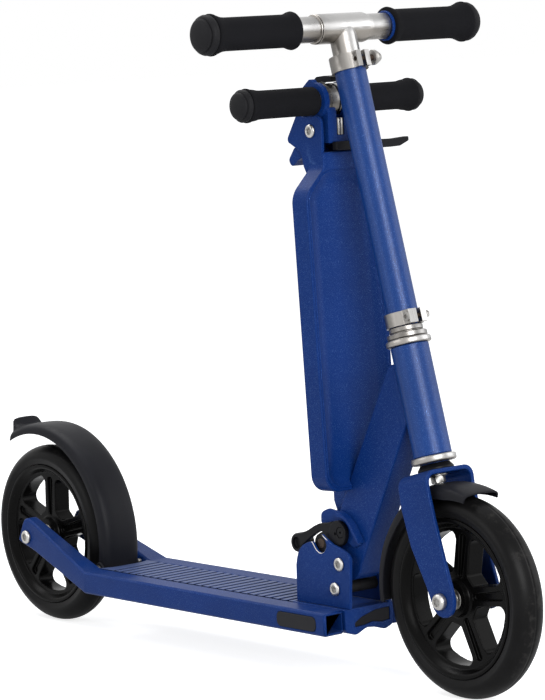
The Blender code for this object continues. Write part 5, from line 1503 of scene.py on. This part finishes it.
class SCOOTER_OT_clamps(bpy.types.Operator):
    """Dresses the two tube clamps and models their bolts"""

    bl_idname = "scooter.clamps"
    bl_label = "Tube Clamps"

    def execute(self, context):
        for tag, near, far in (("lower", 12.5, 10.5), ("upper", 7.5, 9.0)):
            node = f"clamp_{tag}"
            collar = dressed(f"collar_{tag}", node, 0.8)
            finish_piece(collar, "steering", alloy_up(), [node], 40.0, weighted=True)
            span = [(STEER.inverted() @ corner.co).z / MM for corner in FRAME["nodes"][node].data.vertices]
            middle = (min(span) + max(span)) / 2.0
            frame = along_y(CLAMP_BOLT_AHEAD, middle, STEER)
            face = far + GAP
            if tag == "upper":
                cone = [
                    (0.0, 15.0), (2.6, 14.9), (3.4, 14.5), (4.3, 13.4), (7.0, 8.6), (7.6, 7.2), (7.6, 5.0),
                    (7.2, 4.6), (3.3, 4.2), (2.9, 3.9), (2.9, 0.0), (2.2, 0.0),
                ]
                section = [(r, face + h) for r, h in cone] + [(2.2, 0.4 - near), (0.0, 0.4 - near)]
                bolt = turned("collar_bolt_upper", section, frame, 48)
                cut(bolt, rod("dimple", (0.0, 0.0, face + 13.4), (0.0, 0.0, face + 20.0), 1.3, frame, 24))
            else:
                head = -near - GAP
                section = [(0.0, head - 1.4), (4.2, head - 1.4), (4.7, head - 1.0), (4.8, head), (2.2, head),
                           (2.2, face + 3.6), (1.8, face + 4.0), (0.0, face + 4.0)]
                bolt = turned("collar_bolt_lower", section, frame, 48)
                cut(bolt, hex_socket(head - 0.4, -3.0, 2.4, frame))
                join(bolt, nut("nut", face, face + 3.1, 4.0, 2.0, frame))
            finish_piece(bolt, "steering", zinc_plate(), [f"clamp_{tag}_bolt"], 30.0)
            second_finish(bolt, dark_steel(), frame, 3.1, -near, face + 4.3)
        return {"FINISHED"}


# Fenders
FENDER_WALL = 2.0
FENDER_ROWS = 24
FENDER_CROWN = 113.4


def shell(name, columns, place_point, centre):
    """A grid laid onto a curved surface, given a wall inwards and softened edges."""
    to_object_mode()
    bpy.ops.object.select_all(action="DESELECT")
    bpy.ops.mesh.primitive_grid_add(
        x_subdivisions=columns, y_subdivisions=FENDER_ROWS, size=2.0, location=(0.0, 0.0, 0.0)
    )
    obj = bpy.context.object
    obj.name = name
    for vertex in obj.data.vertices:
        vertex.co = Vector(place_point((vertex.co.x + 1.0) / 2.0, vertex.co.y)) * MM
    edit(obj)
    bpy.ops.mesh.normals_make_consistent(inside=False)
    bpy.ops.object.mode_set(mode="OBJECT")
    middle = Vector((centre.x, 0.0, centre.z)) * MM
    facing = sum(face.normal.dot(face.center - middle) for face in obj.data.polygons)
    if facing < 0.0:
        edit(obj)
        bpy.ops.mesh.flip_normals()
        bpy.ops.object.mode_set(mode="OBJECT")
    apply_modifier(obj, "SOLIDIFY", thickness=FENDER_WALL * MM, offset=-1.0, use_even_offset=True)
    return round_edges(obj, 0.55, 3, 60.0)


def soft_step(value):
    clamped = max(0.0, min(1.0, value))
    return clamped * clamped * (3.0 - 2.0 * clamped)


def rear_fender_point(u, v):
    flip = soft_step((0.62 - abs(v)) / 0.25)
    crown_angle = between(((0.0, -15.0), (0.86, 106.0), (0.93, 111.0), (1.0, 112.0)), u)
    crown = 126.0 + flip * between(((0.0, 0.0), (0.86, 0.0), (0.93, 4.0), (1.0, 13.5)), u)
    edge_angle = between(((0.0, -15.0), (1.0, 117.0)), u)
    edge = between(((0.0, 112.0), (0.5, 112.0), (1.0, 116.0)), u)
    phi = v * math.pi / 2.0
    weight = abs(math.cos(phi)) ** 0.5
    y = 24.0 * math.copysign(abs(math.sin(phi)) ** 0.62, v)
    a = math.radians(edge_angle + (crown_angle - edge_angle) * weight)
    r = edge + (crown - edge) * weight
    return REAR_AXLE.x + r * math.cos(a), y, REAR_AXLE.z + r * math.sin(a)


def front_fender_point(u, v):
    angle = math.radians(74.0 + 113.0 * u)
    crown = between(((0.0, 109.5), (0.28, 113.0), (0.6, 108.5), (1.0, 106.5)), u)
    drop = between(((0.0, 9.0), (0.15, 14.0), (0.5, 13.0), (1.0, 10.0)), u)
    phi = v * math.pi / 2.0
    y = 23.0 * math.copysign(abs(math.sin(phi)) ** 0.62, v)
    r = crown - drop * (1.0 - abs(math.cos(phi)) ** 0.5)
    return FRONT_AXLE.x + r * math.cos(angle), y, FRONT_AXLE.z + r * math.sin(angle)


class SCOOTER_OT_fenders(bpy.types.Operator):
    """Models both fenders, the rear one with its pivot pin, and the crown bolt"""

    bl_idname = "scooter.fenders"
    bl_label = "Fenders"

    def execute(self, context):
        rear = shell("brake_fender", 56, rear_fender_point, REAR_AXLE)
        pivot = joint_place("brake_press")
        frame = along_y(pivot.x, pivot.z)
        eye = [(3.4, 19.6), (5.9, 19.6), (6.5, 20.2), (6.5, 24.5), (5.8, 25.2), (3.4, 25.2)]
        for side in (-1.0, 1.0):
            join(rear, turned("eye", [(r, side * h) for r, h in eye], frame, 40, closed=True))
        finish_piece(rear, "brake", black_plastic(), ["rear_fender"], 50.0)
        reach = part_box("fender_pin")[1].y / MM
        section = [
            (0.0, -reach), (2.4, -reach), (3.0, -reach + 0.6), (3.0, reach - 0.6), (2.4, reach),
            (0.0, reach),
        ]
        pin = turned("brake_pin", section, frame, 32)
        finish_piece(pin, "deck", zinc_plate(), ["fender_pin"])
        front = shell("front_guard", 48, front_fender_point, FRONT_AXLE)
        finish_piece(front, "steering", black_plastic(), ["front_fender"], 50.0)
        under = -16.3
        axle = STEER.inverted() @ (FRONT_AXLE * MM) / MM
        foot = axle.z + math.sqrt(FENDER_CROWN ** 2 - axle.x ** 2)
        washer = [
            (0.0, under - 1.4), (9.8, under - 1.4), (10.0, under - 1.2), (10.0, under - 0.2), (9.8, under),
            (0.0, under),
        ]
        screw = turned("crown_screw", washer, STEER, 48)
        join(screw, nut("head", foot, under - 1.3, 7.5, 1.0, STEER))
        finish_piece(screw, "steering", zinc_plate(), ["crown_bolt"], 30.0)
        return {"FINISHED"}


# Handlebars
BAR_HEIGHT = 436.0
BAR_SETBACK = 2.5
BAR_HALF = 164.0
LOWER_HALF = 107.0


class SCOOTER_OT_handlebar(bpy.types.Operator):
    """Models the upper T handlebar with its sleeve, stem and blue ring"""

    bl_idname = "scooter.handlebar"
    bl_label = "T Handlebar"

    def execute(self, context):
        given = sizes()
        bar = given.bar_radius / MM
        sleeve = 15.0
        frame = along_y(-BAR_SETBACK, BAR_HEIGHT, STEER)
        half = [
            (0.0, BAR_HALF), (bar - 0.6, BAR_HALF), (bar, BAR_HALF - 0.6), (bar, 34.4), (bar + 0.25, 34.0),
            (bar + 0.3, 33.4), (sleeve - 0.25, 28.4), (sleeve, 27.2), (sleeve, 0.5),
        ]
        near_end = [
            (sleeve, 0.5), (sleeve, 31.6), (sleeve - 0.35, 32.0), (sleeve - 0.9, 32.1),
            (sleeve - 0.9, 32.9), (sleeve - 0.3, 33.0), (sleeve - 0.2, 33.4), (sleeve - 0.6, 34.0),
            (bar, 34.3), (bar, BAR_HALF - 0.6), (bar - 0.6, BAR_HALF), (0.0, BAR_HALF),
        ]
        tbar = turned("t_handlebar", half + [(r, -h) for r, h in near_end], frame, 72)
        stem = given.stem_radius / MM
        top = [
            (0.0, BAR_HEIGHT + 6.0), (5.0, BAR_HEIGHT + 5.2), (9.6, BAR_HEIGHT + 2.0),
            (12.6, BAR_HEIGHT - 3.0), (stem, BAR_HEIGHT - 9.0), (stem, 170.8), (stem - 0.8, 170.0),
            (0.0, 170.0),
        ]
        fuse(tbar, turned("stem", top, STEER, 72))
        finish_piece(tbar, "t_bar", alloy_across(), ["tbar"], 32.0)
        # Painted shade: the groove at the sleeve's near end takes the nearly black steel, for the gap between
        # bar and sleeve.
        second_finish(tbar, dark_steel(), frame, sleeve - 0.3, -33.1, -31.9)
        ring = [(bar + GAP, 57.7), (bar + 1.5, 57.7), (bar + 2.0, 58.2), (bar + 2.0, 60.2), (bar + 1.5, 60.7),
                (bar + GAP, 60.7)]
        band = turned("bar_ring", ring, frame, 64, closed=True)
        finish_piece(band, "t_bar", blue_paint(), ["tbar_ring"])
        return {"FINISHED"}


def grip_section(start, end, bore, slim, flare, flange):
    """A foam grip: flared at its inner end, waisted, and flanged at its outer end."""
    return [
        (bore, start), (flare - 1.2, start), (flare - 0.3, start + 0.5), (flare, start + 1.6),
        (flare - 0.4, start + 3.4), (slim + 0.5, start + 8.0), (slim, start + 11.0), (slim, end - 19.0),
        (slim + 0.35, end - 14.5), (slim + 1.2, end - 10.8), (flange - 0.9, end - 4.6),
        (flange - 0.1, end - 2.8), (flange, end - 1.7), (flange - 0.5, end - 0.5), (flange - 1.6, end),
        (bore, end),
    ]


def cap_section(start, long, radius):
    """A domed end cap with a groove round it."""
    tip = start + long
    dome = [(radius * 0.84 * math.sin(math.radians(a)), tip - 4.0 + 4.0 * math.cos(math.radians(a)))
            for a in range(0, 86, 12)]
    rest = [
        (radius * 0.83, tip - 4.2), (radius * 0.79, tip - 4.7), (radius * 0.8, tip - 5.3),
        (radius * 0.88, tip - 5.6), (radius * 0.95, tip - 6.6), (radius, start + long * 0.3),
        (radius - 0.1, start + 1.0), (radius - 0.6, start + 0.2), (0.0, start),
    ]
    return dome + rest


class SCOOTER_OT_grips(bpy.types.Operator):
    """Models the four foam grips and their end caps"""

    bl_idname = "scooter.grips"
    bl_label = "Grips and Caps"

    def one(self, names, body, frame, side, section, cap):
        grip = turned(names[0], [(r, side * h) for r, h in section], frame, 64, closed=True)
        finish_piece(grip, body, grip_foam(), [names[1]], 45.0)
        end = turned(names[2], [(r, side * h) for r, h in cap], frame, 64)
        finish_piece(end, body, black_rubber(), [names[3]], 45.0)

    def execute(self, context):
        given = sizes()
        slim = given.grip_radius / MM
        low_slim = given.lower_grip_radius / MM
        upper_frame = along_y(-BAR_SETBACK, BAR_HEIGHT, STEER)
        lower_frame = along_y(LOWER_BAR_X, LOWER_BAR_Z)
        upper = grip_section(61.0, BAR_HALF, given.bar_radius / MM + GAP, slim, slim + 2.6, 20.5)
        lower = grip_section(
            20.5, LOWER_HALF, given.lower_bar_radius / MM + GAP, low_slim, low_slim + 0.1, 17.0
        )
        upper_cap = cap_section(BAR_HALF + GAP, 13.0, 19.7)
        lower_cap = cap_section(LOWER_HALF + GAP, 11.0, 16.2)
        for side, tag in ((-1.0, "right"), (1.0, "left")):
            names = (f"upper_foam_{tag}", f"grip_{tag}", f"upper_end_{tag}", f"cap_{tag}")
            self.one(names, "t_bar", upper_frame, side, upper, upper_cap)
            names = (f"lower_foam_{tag}", f"lower_grip_{tag}", f"lower_end_{tag}", f"lower_cap_{tag}")
            self.one(names, "lower_handlebar", lower_frame, side, lower, lower_cap)
        return {"FINISHED"}


class SCOOTER_OT_lower_bar(bpy.types.Operator):
    """Models the lower handlebar with its collar, lug, catch and draw bolt"""

    bl_idname = "scooter.lower_bar"
    bl_label = "Lower Handlebar"

    def execute(self, context):
        bar = sizes().lower_bar_radius / MM
        frame = along_y(LOWER_BAR_X, LOWER_BAR_Z)
        collar = 16.7
        section = [
            (0.0, -LOWER_HALF), (bar - 0.6, -LOWER_HALF), (bar, -LOWER_HALF + 0.6), (bar, -13.2),
            (collar - 0.5, -13.2), (collar, -12.7), (collar, -9.6), (collar - 0.6, -9.4),
            (collar - 0.6, -8.6), (collar, -8.4), (collar, 0.6), (collar - 0.4, 0.9), (bar + 0.2, 0.9),
            (bar + 0.2, 3.5), (collar - 0.5, 3.5), (collar, 4.0), (collar, 12.5), (collar - 0.6, 13.1),
            (bar, 13.1), (bar, LOWER_HALF - 0.6), (bar - 0.6, LOWER_HALF), (0.0, LOWER_HALF),
        ]
        tube = turned("lower_handle", section, frame, 72)
        finish_piece(tube, "lower_handlebar", alloy_across(), ["lower_bar"], 32.0)
        ring = [(bar + GAP, 1.2), (16.3, 1.2), (16.9, 1.7), (16.9, 2.7), (16.3, 3.2), (bar + GAP, 3.2)]
        band = turned("groove_ring", ring, frame, 56, closed=True)
        finish_piece(band, "lower_handlebar", black_rubber(), ["bar_oring"])
        lug = dressed("bar_bracket", "bar_lug", 0.6)
        corners = [
            (-17.5, -18.0, 1.0), (-17.6, 5.0, 1.0), (-16.6, 14.0, 3.0), (-6.5, 21.5, 3.0), (-1.5, 21.5, 2.0),
            (4.0, 14.0, 2.0), (0.0, 8.0, 0.0), (-6.0, -18.0, 1.0),
        ]
        outline = rounded([(LOWER_BAR_X + x, LOWER_BAR_Z + z, r) for x, z, r in corners])
        boss = round_edges(plate("boss", outline, -19.3, -13.7), 0.8, 3, 50.0)
        cut(boss, drill(LOWER_BAR_X, LOWER_BAR_Z, -60.0, 60.0, 15.0))
        fuse(lug, boss)
        finish_piece(lug, "lower_handlebar", blue_paint(), ["bar_lug"], 40.0, weighted=True)
        catch = dressed("bar_hook", "bar_catch", 0.5)
        low = (LOWER_BAR_X - 40.0, -40.0, LOWER_BAR_Z)
        high = (LOWER_BAR_X + 40.0, -7.0, LOWER_BAR_Z + 50.0)
        cut(catch, block(low, high))
        finish_piece(
            catch, "lower_handlebar", black_plastic(), ["bar_catch"], 40.0, weighted=True
        )
        bolt = dressed("clamp_bolt", "draw_bolt", 0.3, 2, 50.0)
        finish_piece(bolt, "lower_handlebar", zinc_plate(), ["draw_bolt"], 50.0)
        foot = Matrix.Translation(LEVER * MM)
        second_finish(bolt, dark_steel(), foot, 30.0, -60.0, 3.5)
        low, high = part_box("clamp_lever")
        back = low.x / MM
        front = high.x / MM
        z = LEVER.z
        side = rounded(
            [
                (-13.4, z - 3.8, 1.2), (8.0, z - 4.1, 0.0), (58.0, z - 4.8, 6.0), (70.0, z - 4.4, 4.0),
                (81.6, z + 0.2, 1.2), (81.6, z + 4.6, 1.2), (60.0, z + 3.4, 8.0), (12.0, z + 4.8, 0.0),
                (-13.4, z + 4.8, 1.2),
            ]
        )
        lever = plate("tilt_lever", side, back + 0.4, front - 0.4, "YZ")
        round_edges(lever, 0.9, 3, 45.0)
        cut(lever, rod("pin_way", (back - 5.0, 0.0, z), (front - 2.0, 0.0, z), 2.8))
        finish_piece(
            lever, "tension_lever", black_metal(), ["clamp_lever"], 45.0, weighted=True
        )
        return {"FINISHED"}


# Stage
CAMERA_AT = (2.6424, -2.0556, 0.6654)
CAMERA_TARGET = (0.0633, 0.0, 0.3275)
CAMERA_ROLL = -0.051
FOCAL_PIXELS = 3214.82
IMAGE_HEIGHT = 700.0
SENSOR_HEIGHT = 36.0
AMBIENT = 0.32
FLOOR_IN_MIRRORS = 0.12
FLOOR_NEAR = 0.7
FLOOR_FAR = 0.85
# Each lamp: its name, place, the spot it points at, its size in metres and its watts
LAMPS = (
    ("rear_overhead_light", (-1.0, -0.1, 2.3), (0.05, 0.0, 0.3), (1.6, 1.6), 30.0),
    ("front_light", (3.3, -1.09, 1.58), (0.1, 0.0, 0.35), (1.8, 2.0), 98.0),
    ("left_light", (1.9, 2.6, 1.3), (0.1, 0.0, 0.35), (2.2, 2.2), 27.0),
    ("right_light", (-0.6, -2.8, 1.4), (0.0, 0.0, 0.3), (1.6, 1.6), 20.0),
)


def ray_kinds(tree, place):
    """Two masks: rays that the camera sends out, and rays that a mirror or glass sends on."""
    path = tree.add("ShaderNodeLightPath", place).outputs
    passed_on = tree.math(
        "MAXIMUM", path["Is Glossy Ray"], path["Is Transmission Ray"], (place[0] + 200, place[1])
    )
    return path["Is Camera Ray"], passed_on


class SCOOTER_OT_stage(bpy.types.Operator):
    """Sets the floor, the soft lamps, the pale surroundings and the camera"""

    bl_idname = "scooter.stage"
    bl_label = "Studio"

    def floor(self):
        to_object_mode()
        bpy.ops.object.select_all(action="DESELECT")
        bpy.ops.mesh.primitive_plane_add(size=60.0, location=(0.0, 0.0, 0.0))
        ground = bpy.context.object
        ground.name = "studio_floor"
        material, tree, shader, spot = new_material("studio_floor")
        grain = tree.noise(spot, 3.0, (-900, 0), 3.0)
        tint = colours().floor
        tree.join(tree.mix(tree.ramp(grain, 0.3, 0.7, (-700, 0)), tint, scaled(tint, 0.985), (-400, 100)),
                  shader.inputs["Base Color"])
        shader.inputs["Roughness"].default_value = 0.9
        shader.inputs["Specular IOR Level"].default_value = 0.0
        shader.inputs["Emission Strength"].default_value = 1.0
        direct, passed_on = ray_kinds(tree, (-900, -300))
        glow = tree.mix(passed_on, (0.0, 0.0, 0.0), grey(FLOOR_IN_MIRRORS), (-450, -300))
        reach = tree.add("ShaderNodeVectorMath", (-900, -600), operation="LENGTH")
        tree.join(spot, reach.inputs[0])
        far = tree.ramp(reach.outputs["Value"], 0.9, 3.2, (-700, -600))
        lit = tree.mix(far, grey(FLOOR_NEAR), grey(FLOOR_FAR), (-450, -600))
        glow = tree.mix(direct, glow, lit, (-200, -200))
        tree.join(glow, shader.inputs["Emission Color"])
        ground.data.materials.append(material)

    def lamp(self, name, at, target, size, watts):
        to_object_mode()
        spot = Vector(at)
        turn = (spot - Vector(target)).to_track_quat("Z", "Y").to_euler()
        bpy.ops.object.light_add(type="AREA", location=spot, rotation=turn)
        lamp = bpy.context.object
        lamp.name = name
        lamp.data.shape = "RECTANGLE"
        lamp.data.size = size[0]
        lamp.data.size_y = size[1]
        lamp.data.energy = watts * colours().light_level

    def surroundings(self):
        world = bpy.data.worlds.new("pale_studio")
        bpy.context.scene.world = world
        world.use_nodes = True
        tree = Tree(world.node_tree)
        ambient = world.node_tree.nodes["Background"]
        ambient.inputs["Color"].default_value = (0.93, 0.96, 1.0, 1.0)
        ambient.inputs["Strength"].default_value = AMBIENT
        white = tree.add("ShaderNodeBackground", (-200, -200))
        white.inputs["Color"].default_value = (1.0, 1.0, 1.0, 1.0)
        white.inputs["Strength"].default_value = 1.0
        mixed = tree.add("ShaderNodeMixShader", (100, 0))
        direct, passed_on = ray_kinds(tree, (-800, 200))
        tree.join(tree.math("MAXIMUM", direct, passed_on, (-400, 200)), mixed.inputs[0])
        tree.join(ambient.outputs[0], mixed.inputs[1])
        tree.join(white.outputs[0], mixed.inputs[2])
        tree.join(mixed.outputs[0], world.node_tree.nodes["World Output"].inputs["Surface"])

    def camera(self):
        to_object_mode()
        spot = Vector(CAMERA_AT)
        back = (spot - Vector(CAMERA_TARGET)).normalized()
        right = Vector((0.0, 0.0, 1.0)).cross(back).normalized()
        turn = Matrix((right, back.cross(right), back)).transposed() @ Matrix.Rotation(CAMERA_ROLL, 3, "Z")
        bpy.ops.object.camera_add(location=spot, rotation=turn.to_euler())
        camera = bpy.context.object
        camera.name = "photo_camera"
        camera.data.sensor_fit = "VERTICAL"
        camera.data.sensor_height = SENSOR_HEIGHT
        camera.data.lens = FOCAL_PIXELS * SENSOR_HEIGHT / IMAGE_HEIGHT
        camera.data.clip_end = 100.0
        bpy.context.scene.camera = camera

    def execute(self, context):
        self.floor()
        for settings in LAMPS:
            self.lamp(*settings)
        self.surroundings()
        self.camera()
        context.scene.view_settings.view_transform = "Standard"
        return {"FINISHED"}


# Panel, registration and the run as a script
OPERATORS = (
    SCOOTER_OT_tyres, SCOOTER_OT_rims, SCOOTER_OT_axles, SCOOTER_OT_deck, SCOOTER_OT_bracket, SCOOTER_OT_neck,
    SCOOTER_OT_latch, SCOOTER_OT_column, SCOOTER_OT_steering, SCOOTER_OT_clamps, SCOOTER_OT_fenders,
    SCOOTER_OT_handlebar, SCOOTER_OT_grips, SCOOTER_OT_lower_bar, SCOOTER_OT_stage,
)


class SCOOTER_PT_panel(bpy.types.Panel):
    """Lists the scooter's sizes, colours and modelling steps"""

    bl_idname = "SCOOTER_PT_panel"
    bl_label = "Folding Kick Scooter"
    bl_space_type = "VIEW_3D"
    bl_region_type = "UI"
    bl_category = "Scooter"

    def draw(self, context):
        for group in (context.scene.scooter_sizes, context.scene.scooter_colours):
            box = self.layout.box()
            for name in group.__annotations__:
                box.prop(group, name)
        column = self.layout.column(align=True)
        for operator in OPERATORS:
            column.operator(operator.bl_idname)


CLASSES = (ScooterSizes, ScooterColours) + OPERATORS + (SCOOTER_PT_panel,)


def register():
    for item in CLASSES:
        bpy.utils.register_class(item)
    bpy.types.Scene.scooter_sizes = bpy.props.PointerProperty(type=ScooterSizes)
    bpy.types.Scene.scooter_colours = bpy.props.PointerProperty(type=ScooterColours)


def unregister():
    del bpy.types.Scene.scooter_colours
    del bpy.types.Scene.scooter_sizes
    for item in reversed(CLASSES):
        bpy.utils.unregister_class(item)


def main():
    register()
    for operator in OPERATORS:
        group, name = operator.bl_idname.split(".")
        getattr(getattr(bpy.ops, group), name)()


if __name__ == "__main__":
    main()
